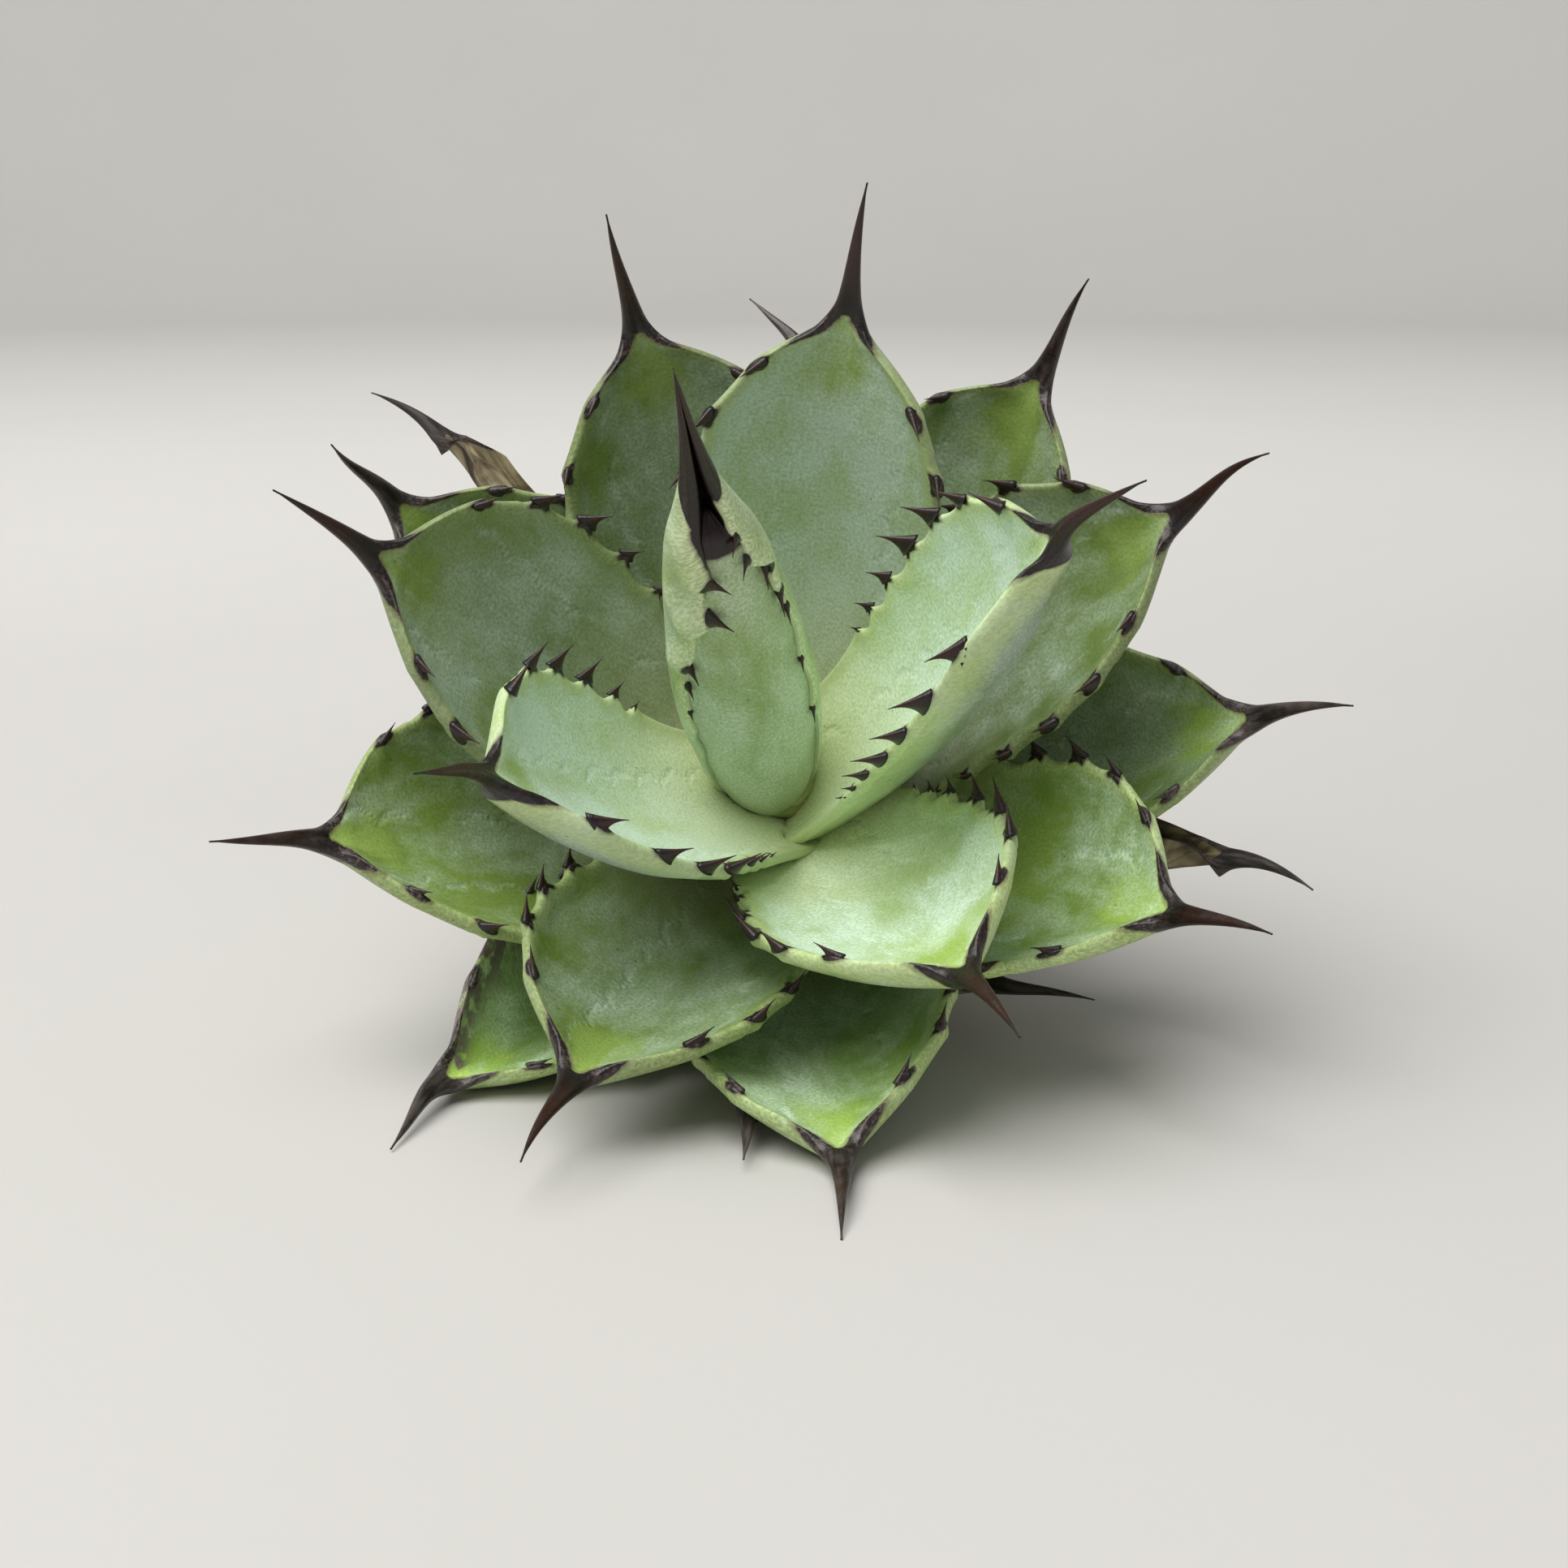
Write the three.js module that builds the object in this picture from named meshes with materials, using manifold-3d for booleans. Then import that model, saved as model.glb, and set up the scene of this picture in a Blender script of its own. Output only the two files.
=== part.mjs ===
// Compact agave rosette, unpotted, leaning on its lowest leaves and on the cut end of its stem.
// Millimetres and degrees, +Z up. Seen along +Y, +X is to the right and the rosette faces the viewer.

import * as THREE from 'three';
import Module from 'manifold-3d';
import { mergeVertices } from 'three/addons/utils/BufferGeometryUtils.js';

const wasm = await Module();
wasm.setup();

// Where the rosette's axis starts, above the table and about over the middle of what it covers.
const CENTRE = new THREE.Vector3(-1.45, 12.5, 30.5);
const AXIS_RISE = 40.3; // of the axis above the table
const AXIS_TURN = 4.9; // of the axis from -Y towards -X

// Phyllotaxis: each older leaf is one golden angle on, and a little further down and out.
const GOLDEN_ANGLE = 137.5;
const FIRST_AZIMUTH = 352.7;
const NODE_SPACING = 1.37;
const SEAT_RADIUS = 4.7;
const SEAT_GROWTH = 0.25;

// A full-grown leaf: blade, terminal spine and marginal teeth.
const BLADE_LENGTH = 57.5;
const BLADE_WIDTH = 35.5;
const WIDEST_AT = 0.62; // share of the blade's length
const BASE_WIDTH = 0.62; // share of its greatest width
const SHOULDER = 2.2; // how full the outline stays towards the apex
const BLUNTNESS = 1.4;
const APEX_THICKNESS = 3.4; // in the middle of the blade
const BASE_THICKENING = 4.4; // added towards the base
const EDGE_THICKNESS = 2.0;
const ROOT_LENGTH = 7; // of the base, running into the stem
const SPINE_LENGTH = 18.6;
const SPINE_RADIUS = 2.0;
const SPINE_TIP_RADIUS = 0.15;
const TOOTH_BASE = 2.9; // along the margin; the next tooth follows on the other margin
const FIRST_TOOTH = 0.27;
const LAST_TOOTH = 0.93;
const TOOTH_HEIGHT = 3.6;
const TOOTH_WAIST = 0.42; // share of the base left at the middle of its height
const TOOTH_BEND = 0.42; // of the tip towards the leaf's base, as a share of the height

// Leaves from the youngest to the oldest. turn is off the golden angle, lean is from the axis at
// mid blade, bend and twist are over the blade's length, cup is how far the margins rise, and lift
// and swing turn the spine towards the inner face and towards increasing azimuth.
const LEAVES = [
  { turn: 5, lean: 26, bend: 28, cup: 31, twist: -6.5, lift: -21, swing: -3, length: 63, width: 32.5 },
  { turn: 4.5, lean: 31.5, bend: 26, cup: 23.5, twist: -7, lift: -12, swing: 7, length: 57 },
  { turn: -3.5, lean: 36, bend: 18, cup: 23, twist: -4, lift: -3, swing: -3 },
  { turn: -2.5, lean: 45, bend: 20, cup: 24, twist: 1, lift: -16, swing: -2.5, length: 58 },
  { turn: 3.5, lean: 41.5, bend: 19, cup: 18, twist: 0, lift: -1, swing: 6, length: 58.5, width: 38 },
  { turn: -4, lean: 52, bend: 11.5, cup: 24.5, twist: -1, lift: 8, swing: -13, length: 57 },
  { turn: 0, lean: 52, bend: 10.5, cup: 23, twist: -4.5, lift: -7.5, swing: 5, length: 58.5 },
  { turn: -2, lean: 48.5, bend: 23, cup: 19.5, twist: 3, lift: 11.5, swing: 1, length: 58 },
  { turn: -6, lean: 54, bend: 23, cup: 22.5, twist: 0.5, lift: -6.5, swing: -4, length: 58 },
  { turn: 4, lean: 53, bend: 17.5, cup: 19.5, twist: 1.5, lift: -1.5, swing: 6, length: 58, width: 37.5 },
  { turn: -4.5, lean: 56.5, bend: 24, cup: 23.5, twist: -1, lift: 13, swing: -7, length: 59, spine: 17.8 },
  { turn: -2, lean: 51.5, bend: 16.5, cup: 23.5, twist: 0, lift: -7.5, swing: -4, length: 63.5, spine: 19 },
  { turn: 4, lean: 55, bend: 28, cup: 23, twist: -1, lift: 23, swing: 11, length: 59, spine: 17.8 },
  { turn: -5.5, lean: 58.5, bend: 26, cup: 31.5, twist: 3, lift: 3, swing: -15.5, width: 34 },
  { turn: 1.5, lean: 58, bend: 26, cup: 42, twist: -10, lift: -1.7, swing: 16.5, width: 32, spine: 17.8 },
  { turn: -3, lean: 70, bend: 16, cup: 23, twist: 0, lift: -20, swing: 35, length: 59, spine: 14 },
  { turn: 1.5, lean: 58.5, bend: 16, cup: 20, twist: 0, lift: -9, swing: 14.5, length: 30.5, width: 25 },
  { turn: -3, lean: 70, bend: 14, cup: 20, twist: 0, lift: 0, swing: -6, length: 30, width: 24, spine: 12 },
  { turn: 3, lean: 70, bend: 14, cup: 20, twist: 0, lift: 0, swing: 6, length: 32, width: 25, spine: 12 },
];
// The oldest leaves of all, shrivelled and dry.
const DRY_LEAVES = [
  { turn: 7, lean: 43.5, bend: 12, cup: 30, twist: 10, lift: -9, swing: 1, length: 55, width: 15, spine: 16 },
  { turn: 7.5, lean: 66, bend: 6, cup: 45, twist: 30, lift: -21, swing: 9, length: 66, width: 11, spine: 14 },
  { turn: 1, lean: 56, bend: 16, cup: 40, twist: -25, lift: -10, swing: -21, length: 54.5, width: 13 },
];
const DRY_THICKNESS = 0.4; // share of a living leaf's

// Bud: the cone of unopened leaves. Heights are along the bud's own axis.
const BUD_LEAN_ACROSS = -3; // towards azimuth 0
const BUD_LEAN_BACK = 5.9; // towards azimuth 90
const BUD_OFFSET = -1.5; // of its foot, towards azimuth 0
const BUD_OUTLINE = [
  [-6, 3.6], [0, 6.3], [10, 8.1], [20, 8.9], [30, 8.3], [42, 6.9],
  [50, 5.5], [55, 3.9], [60, 2.4], [67, 1.2], [78.4, 0.35],
];
// The outer bud leaf wraps the cone's back and sides, between these azimuths of its two edges.
const WRAP_EDGES = [
  [-6, 200, -15], [10, 204, -15], [20, 215, -19], [26, 240, -23],
  [33, 254, -29], [44, 264, -46], [49, 276, -72], [55, 262, -68], [78.4, 250, -60],
];
const WRAP_THICKNESS = 2.2;
const WRAP_STEPS = 5;
const WRAP_HEIGHTS = [-5, 4, 11, 14.5, 18, 21.5, 25, 28.5, 32, 35.5, 39, 42.5, 46, 50, 55, 61, 78.4];
const WRAP_TEETH = [ // each starts at a height; side 1 is the edge of the lower azimuth
  { from: 11, side: -1 }, { from: 18, side: -1 }, { from: 32, side: -1 }, { from: 42.5, side: -1 },
  { from: 14.5, side: 1 }, { from: 25, side: 1 }, { from: 35.5, side: 1 }, { from: 42.5, side: 1 },
];
const CORE_HEIGHTS = [-6, 1, 9, 18, 27, 36, 42, 46];
const CORE_INSET = 0.8; // of the inner leaf's face below the outer leaf's
const CORE_SIDES = 12;

// Stem, with its cut end and the stubs of its trimmed roots.
const STEM_HEIGHTS = [1.5, 0, -12, -24, -36];
const STEM_CLEARANCE = 0.4; // between the stem and the leaves' seats
const STEM_SIDES = 12;
const ROOT_STUBS = 6;
const ROOT_HEIGHT = -32.5;
const ROOT_RADIUS = 1.4;
const ROOT_LENGTHS = [7, 5, 8];

const GAP = 0.3; // between two neighbouring pieces
const CUTTER_GAP = 0.38; // the same for the plainer shape that a younger leaf cuts with
const TOUCHING = 0.001; // cubic millimetres shared by two solids that still count as clear

const COLOURS = {
  leaf: 0xa3b994, oldLeaf: 0x8ea878, bud: 0xa9c09c, dryLeaf: 0x6b5a48, stem: 0x7a5f45,
};
const LEAF_ROUGHNESS = 0.62;
const DRY_ROUGHNESS = 0.85;
const FIRST_OLD_LEAF = 11;

const radians = THREE.MathUtils.degToRad;
const lerp = THREE.MathUtils.lerp;

// A frame: its origin, its axis, and the directions of azimuth 0 and 90 square to the axis.
function frameAbout(origin, axis, across) {
  const east = across.clone().addScaledVector(axis, -across.dot(axis)).normalize();
  const north = new THREE.Vector3().crossVectors(axis, east);
  return { origin, axis, east, north };
}

function radial(frame, azimuth) {
  return frame.east.clone().multiplyScalar(Math.cos(radians(azimuth)))
    .addScaledVector(frame.north, Math.sin(radians(azimuth)));
}

function placeIn(frame, height, azimuth, radius) {
  return frame.origin.clone().addScaledVector(frame.axis, height)
    .addScaledVector(radial(frame, azimuth), radius);
}

const rosetteAxis = new THREE.Vector3(
  -Math.sin(radians(AXIS_TURN)) * Math.cos(radians(AXIS_RISE)),
  -Math.cos(radians(AXIS_TURN)) * Math.cos(radians(AXIS_RISE)),
  Math.sin(radians(AXIS_RISE)),
);
const rosette = frameAbout(CENTRE, rosetteAxis, new THREE.Vector3(1, 0, 0));
const bud = frameAbout(
  placeIn(rosette, 0, 0, BUD_OFFSET),
  rosette.axis.clone()
    .addScaledVector(rosette.east, Math.tan(radians(BUD_LEAN_ACROSS)))
    .addScaledVector(rosette.north, Math.tan(radians(BUD_LEAN_BACK))).normalize(),
  rosette.east,
);

// Straight-line interpolation of one column in a table of [place, value, ...] rows.
function along(table, place, column = 1) {
  const next = Math.max(1, table.findIndex((row) => row[0] >= place));
  const [low, high] = [table[next - 1], table[next]];
  return lerp(low[column], high[column], (place - low[0]) / (high[0] - low[0]));
}

// A closed body through rings of points that run clockwise seen from its far end. The first half of
// a ring is its inner row and the rest its outer row, and the two rows are joined at both ends. Each
// horn stands on the strip that joins the rows along one side: side 1 where the inner row ends.
function loft(rings, horns = []) {
  const sides = rings[0].length;
  const row = sides / 2;
  const points = rings.flat();
  const faces = [];
  for (let ring = 0; ring < rings.length - 1; ring++) {
    for (let k = 0; k < sides; k++) {
      const [a, b] = [ring * sides + k, ring * sides + (k + 1) % sides];
      const corners = [a, a + sides, b + sides, b];
      const horn = horns.find((each) => each.ring === ring && k === (each.side > 0 ? row : sides) - 1);
      if (horn) faces.push(...hornFaces(points, corners, horn));
      else if (k < row) faces.push(a, b + sides, b, a, a + sides, b + sides);
      else faces.push(a, a + sides, b, b, a + sides, b + sides);
    }
  }
  const last = (rings.length - 1) * sides;
  for (let k = 0; k < row - 1; k++) {
    const far = sides - 1 - k;
    faces.push(k, k + 1, far - 1, k, far - 1, far);
    faces.push(last + k, last + far - 1, last + k + 1, last + k, last + far, last + far - 1);
  }
  const geometry = new THREE.BufferGeometry().setFromPoints(points);
  geometry.setIndex(faces);
  return geometry;
}

// A hooked horn on four corners of a surface: adds its five points and gives back its faces.
function hornFaces(points, corners, { outward, edge, height }) {
  const centre = corners.reduce((sum, k) => sum.add(points[k]), new THREE.Vector3()).divideScalar(4);
  const waist = corners.map((k) => {
    points.push(points[k].clone().sub(centre).multiplyScalar(TOOTH_WAIST).add(centre)
      .addScaledVector(outward, height * 0.45)
      .addScaledVector(edge, -height * TOOTH_BEND * 0.25));
    return points.length - 1;
  });
  points.push(centre.addScaledVector(outward, height).addScaledVector(edge, -height * TOOTH_BEND));
  const tip = points.length - 1;
  return corners.flatMap((low, j) => {
    const [next, up, nextUp] = [corners[(j + 1) % 4], waist[j], waist[(j + 1) % 4]];
    return [low, next, nextUp, low, nextUp, up, up, nextUp, tip];
  });
}

// A geometry as a solid that can be joined and cut, and the geometry of such a solid.
function solid(geometry) {
  const bare = geometry.clone();
  bare.deleteAttribute('normal');
  bare.deleteAttribute('uv');
  const merged = mergeVertices(bare, 1e-4);
  return new wasm.Manifold(new wasm.Mesh({
    numProp: 3,
    vertProperties: merged.attributes.position.array,
    triVerts: new Uint32Array(merged.index.array),
  }));
}

function geometryOf(body) {
  const mesh = body.getMesh();
  const geometry = new THREE.BufferGeometry();
  geometry.setAttribute('position', new THREE.BufferAttribute(mesh.vertProperties, 3));
  geometry.setIndex(new THREE.BufferAttribute(mesh.triVerts, 1));
  geometry.computeVertexNormals();
  return geometry;
}

// The largest of the separate bodies that a cut leaves.
function largest(body) {
  return body.decompose().reduce((a, b) => (a.volume() > b.volume() ? a : b));
}

// A round ring about a frame's axis, clockwise seen from its far end.
function roundRing(frame, height, radius, sides) {
  return Array.from({ length: sides }, (_, k) => placeIn(frame, height, -360 * k / sides, radius));
}

// Half-width of a blade as a share of its greatest half-width, at a share of its length.
function outline(t) {
  if (t < 0) return BASE_WIDTH * (1 + t);
  if (t < WIDEST_AT) {
    const rise = Math.sin((Math.PI / 2) * (t / WIDEST_AT)) ** 2;
    return BASE_WIDTH + (1 - BASE_WIDTH) * rise;
  }
  const past = (t - WIDEST_AT) / (1 - WIDEST_AT);
  return (1 - past ** SHOULDER) ** (1 / BLUNTNESS);
}

// A leaf's sizes and its seat on the stem.
function leafForm(values, rank) {
  const azimuth = FIRST_AZIMUTH - GOLDEN_ANGLE * rank + values.turn;
  return {
    length: BLADE_LENGTH,
    width: BLADE_WIDTH,
    spine: SPINE_LENGTH,
    dry: rank >= LEAVES.length,
    ...values,
    out: radial(rosette, azimuth),
    side: radial(rosette, azimuth + 90),
    seat: placeIn(rosette, -NODE_SPACING * rank, azimuth, SEAT_RADIUS + SEAT_GROWTH * rank),
  };
}

// The middle of a leaf's inner face and its three directions, at a share of the blade's length. The
// blade's middle line is an arc; its root runs straight on below the seat.
function leafFrame(form, t) {
  const first = radians(form.lean + form.bend / 2);
  const curl = radians(form.bend);
  const lean = first - curl * Math.max(t, 0);
  const roll = radians(form.twist) * Math.max(t, 0);
  const tangent = form.out.clone().multiplyScalar(Math.sin(lean))
    .addScaledVector(rosette.axis, Math.cos(lean));
  const level = form.side.clone();
  const inward = form.out.clone().multiplyScalar(-Math.cos(lean))
    .addScaledVector(rosette.axis, Math.sin(lean));
  const across = level.clone().multiplyScalar(Math.cos(roll)).addScaledVector(inward, Math.sin(roll));
  const normal = inward.multiplyScalar(Math.cos(roll)).addScaledVector(level, -Math.sin(roll));
  const place = form.seat.clone();
  if (t < 0) {
    place.addScaledVector(tangent, t * form.length);
  } else {
    place.addScaledVector(form.out, form.length * (Math.cos(lean) - Math.cos(first)) / curl)
      .addScaledVector(rosette.axis, form.length * (Math.sin(first) - Math.sin(lean)) / curl);
  }
  return { place, tangent, across, normal };
}

// One cross-section of a leaf: its inner row from the low-azimuth margin to the other, and its outer
// row back. depths are those of its middle and its edges.
const ACROSS = [-1, -0.42, 0.42, 1];
function section({ place, across, normal }, half, cup, depths, grow) {
  const point = (s, below) => place.clone()
    .addScaledVector(across, (half + grow) * Math.cos(cup) * s)
    .addScaledVector(normal, half * Math.sin(cup) * Math.abs(s) ** 1.7 - below);
  const depth = (s) => depths.edge + (depths.middle - depths.edge) * (1 - s * s);
  return [
    ...ACROSS.map((s) => point(s, -grow)),
    ...ACROSS.toReversed().map((s) => point(s, depth(s) + grow)),
  ];
}

// Shares of the blade's length where its sections stand. Fine ones hold a tooth between each two.
function stations(form, fine) {
  const root = -ROOT_LENGTH / form.length;
  if (!fine) return [root, 0.1, 0.27, 0.45, 0.62, 0.76, 0.88, 0.965];
  const count = Math.round((LAST_TOOTH - FIRST_TOOTH) * form.length / TOOTH_BASE);
  const steps = Array.from({ length: count + 1 }, (_, k) => lerp(FIRST_TOOTH, LAST_TOOTH, k / count));
  return [root, 0.12, ...steps, 0.975];
}

function cupAt(form, t) {
  return radians(form.cup) * THREE.MathUtils.clamp(0.6 + t, 0.6, 1);
}

// The line of the terminal spine: it leaves the blade straight on and bends to its own direction.
function spinePath(form, grow) {
  const apex = leafFrame(form, 1);
  const lift = radians(form.lift);
  const swing = radians(form.swing);
  const towards = apex.tangent.clone().multiplyScalar(Math.cos(lift) * Math.cos(swing))
    .addScaledVector(apex.normal, Math.sin(lift))
    .addScaledVector(apex.across, Math.sin(swing)).normalize();
  return new THREE.QuadraticBezierCurve3(
    apex.place,
    apex.place.clone().addScaledVector(apex.tangent, form.spine * 0.4),
    apex.place.clone().addScaledVector(towards, form.spine + grow),
  );
}

// The sections of a blade and its terminal spine, grown all over by a distance.
function bladeRings(form, fine, grow) {
  const thin = form.dry ? DRY_THICKNESS : 1;
  const blade = stations(form, fine).map((t) => {
    const half = Math.max((form.width / 2) * outline(t), SPINE_RADIUS);
    const middle = (APEX_THICKNESS + BASE_THICKENING * (1 - Math.max(t, 0)) ** 1.5) * thin;
    const depths = { middle, edge: Math.min(EDGE_THICKNESS, middle * 0.6) };
    return section(leafFrame(form, t), half, cupAt(form, t), depths, grow);
  });
  const path = spinePath(form, grow);
  const apex = leafFrame(form, 1);
  const spine = [0, 0.25, 0.6, 1].map((s) => {
    const tangent = path.getTangent(s);
    const across = apex.across.clone()
      .addScaledVector(tangent, -apex.across.dot(tangent)).normalize();
    const frame = { place: path.getPoint(s), across, normal: tangent.clone().cross(across) };
    const radius = Math.max(SPINE_RADIUS * (0.45 * (1 - s) + 0.55 * (1 - s) ** 4), SPINE_TIP_RADIUS);
    const depths = { middle: radius * 1.7, edge: radius * 0.9 };
    return section(frame, radius, cupAt(form, 1) * (1 - s), depths, grow);
  });
  return [...blade, ...spine];
}

// Teeth stand in turn on the two margins. Each hooks towards the leaf's base and inner face.
function leafTeeth(form) {
  if (form.dry) return [];
  const places = stations(form, true);
  return places.slice(2, -2).map((start, k) => {
    const t = (start + places[k + 3]) / 2;
    const side = k % 2 ? 1 : -1;
    const { tangent, across, normal } = leafFrame(form, t);
    const margin = across.multiplyScalar(side * Math.cos(cupAt(form, t)))
      .addScaledVector(normal, Math.sin(cupAt(form, t)));
    const outward = margin.clone().multiplyScalar(0.45).addScaledVector(normal, 0.9).normalize();
    const slope = (outline(t + 0.02) - outline(t - 0.02)) / 0.04 * (form.width / 2) / form.length;
    const edge = tangent.addScaledVector(margin, slope);
    edge.addScaledVector(outward, -edge.dot(outward)).normalize();
    const height = TOOTH_HEIGHT * (form.width / BLADE_WIDTH) * Math.min(1, 0.45 + t);
    return { ring: k + 2, side, outward, edge, height };
  });
}

const budCurve = new THREE.CatmullRomCurve3(
  BUD_OUTLINE.map(([height, radius]) => new THREE.Vector3(height, radius, 0)),
).getPoints(150).map((p) => [p.x, p.y]);

function budRadius(height) {
  const [low, high] = [budCurve[0][0], budCurve.at(-1)[0]];
  return along(budCurve, THREE.MathUtils.clamp(height, low, high));
}

// The outer bud leaf: a sheet round the cone, whose edges close above into a grooved spine.
function wrapRings(grow) {
  const steps = Array.from({ length: WRAP_STEPS + 1 }, (_, k) => k / WRAP_STEPS);
  return WRAP_HEIGHTS.map((height) => {
    const outer = budRadius(height);
    const inner = Math.max(outer - WRAP_THICKNESS, outer * 0.35) - grow;
    const spread = THREE.MathUtils.radToDeg(grow / outer);
    const from = along(WRAP_EDGES, height, 2) - spread;
    const to = along(WRAP_EDGES, height, 1) + spread;
    const arc = (radius) => steps.map((s) => placeIn(bud, height, lerp(from, to, s), radius));
    return [...arc(Math.max(inner, 0.1)), ...arc(outer + grow).toReversed()];
  });
}

function wrapTeeth() {
  return WRAP_TEETH.map(({ from, side }) => {
    const azimuth = along(WRAP_EDGES, from, side > 0 ? 1 : 2);
    const outward = radial(bud, azimuth + side * 90).multiplyScalar(0.8)
      .addScaledVector(radial(bud, azimuth), 0.6).normalize();
    return { ring: WRAP_HEIGHTS.indexOf(from), side, outward, edge: bud.axis, height: 3.2 };
  });
}

// The inner bud leaf, rolled into a closed cone. Its own spine is still inside the outer leaf.
function coreRings(grow) {
  const [topStart, top] = [CORE_HEIGHTS.at(-3), CORE_HEIGHTS.at(-1)];
  return CORE_HEIGHTS.map((height) => {
    const past = Math.max(0, (height - topStart) / (top - topStart));
    const radius = (budRadius(height) - CORE_INSET) * (1 - 0.8 * past ** 2) + grow;
    return roundRing(bud, height, radius, CORE_SIDES);
  });
}

function stemRadius(height) {
  if (height > 0) return SEAT_RADIUS - STEM_CLEARANCE - height;
  return SEAT_RADIUS - STEM_CLEARANCE - SEAT_GROWTH * height / NODE_SPACING;
}

// The stem's length above its cut end, grown all over by a distance.
function stemRings(grow) {
  return STEM_HEIGHTS.toReversed().map((height) => {
    return roundRing(rosette, height + Math.sign(height) * grow, stemRadius(height) + grow, STEM_SIDES);
  });
}

// Stubs of the roots, on the side of the stem that stands clear of the table.
function rootSolids() {
  return Array.from({ length: ROOT_STUBS }, (_, k) => {
    const azimuth = lerp(-25, 205, k / (ROOT_STUBS - 1));
    const length = ROOT_LENGTHS[k % ROOT_LENGTHS.length];
    const start = placeIn(rosette, ROOT_HEIGHT, azimuth, stemRadius(ROOT_HEIGHT) - 3);
    const direction = radial(rosette, azimuth).multiplyScalar(0.8)
      .addScaledVector(rosette.axis, -0.5).normalize();
    const root = frameAbout(start, direction, radial(rosette, azimuth + 90));
    return solid(loft([
      roundRing(root, 0, ROOT_RADIUS, 6),
      roundRing(root, 3 + length * 0.5, ROOT_RADIUS * 0.85, 6),
      roundRing(root, 3 + length, ROOT_RADIUS * 0.55, 6),
    ]));
  });
}

// Everything that lies under the table's surface is cut away, which leaves the stem its flat spot.
function aboveTable(body) {
  const below = new THREE.BoxGeometry(200, 200, 40).translate(0, 0, -20);
  return body.subtract(solid(below));
}

// Older pieces give way to younger ones, so every base fits round what is inside it.
const yielding = [solid(loft(stemRings(CUTTER_GAP)))];

// A piece with the cutters that stood before it; the piece's own cutter is added for the next ones.
function addPiece(name, colour, roughness, rings, teeth, cutterRings) {
  const cutters = [...yielding];
  const build = (horns) => largest(
    cutters.reduce((left, cutter) => left.subtract(cutter), solid(loft(rings, horns))),
  );
  yielding.push(solid(loft(cutterRings)));
  return { name, colour, roughness, teeth, build, rings, body: build([]) };
}

// A leaf's piece, in the colours of its age.
function addLeaf(values, rank) {
  const form = leafForm(values, rank);
  const name = `${form.dry ? 'dry_leaf' : 'leaf'}_${String(rank).padStart(2, '0')}`;
  const living = rank < FIRST_OLD_LEAF ? COLOURS.leaf : COLOURS.oldLeaf;
  const colour = form.dry ? COLOURS.dryLeaf : living;
  const roughness = form.dry ? DRY_ROUGHNESS : LEAF_ROUGHNESS;
  const cutter = bladeRings(form, false, CUTTER_GAP);
  return addPiece(name, colour, roughness, bladeRings(form, !form.dry, 0), leafTeeth(form), cutter);
}

const pieces = [
  addPiece('bud_leaf_outer', COLOURS.bud, LEAF_ROUGHNESS, wrapRings(0), wrapTeeth(), wrapRings(GAP)),
  addPiece('bud_leaf_inner', COLOURS.bud, LEAF_ROUGHNESS, coreRings(0), [], coreRings(GAP)),
  ...[...LEAVES, ...DRY_LEAVES].map(addLeaf),
];

// The teeth of a piece that would touch no other piece; the others are left off.
function clearTeeth(piece) {
  return piece.teeth.filter((tooth) => {
    const { ring, side } = tooth;
    const sides = piece.rings[0].length;
    const k = side > 0 ? sides / 2 - 1 : sides - 1;
    const points = [
      piece.rings[ring][k], piece.rings[ring + 1][k],
      piece.rings[ring + 1][(k + 1) % sides], piece.rings[ring][(k + 1) % sides],
    ];
    const faces = hornFaces(points, [0, 1, 2, 3], { ...tooth, height: tooth.height + GAP });
    const geometry = new THREE.BufferGeometry().setFromPoints(points);
    const horn = solid(geometry.setIndex([...faces, 0, 2, 1, 0, 3, 2]));
    return pieces.every((other) => other === piece || other.body.intersect(horn).volume() < TOUCHING);
  });
}
for (const piece of pieces) piece.body = piece.build(clearTeeth(piece));

const stem = rootSolids().reduce((body, root) => body.add(root), solid(loft(stemRings(0))));
pieces.push({ name: 'stem', colour: COLOURS.stem, roughness: DRY_ROUGHNESS, body: aboveTable(stem) });

const agave = new THREE.Group();
for (const { name, colour, roughness, body } of pieces) {
  const material = new THREE.MeshStandardMaterial({ color: colour, roughness, metalness: 0 });
  const mesh = new THREE.Mesh(geometryOf(body), material);
  mesh.name = name;
  agave.add(mesh);
}

export default agave;
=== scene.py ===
import math

import bpy
import numpy as np
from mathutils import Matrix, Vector
from mathutils.bvhtree import BVHTree


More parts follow.
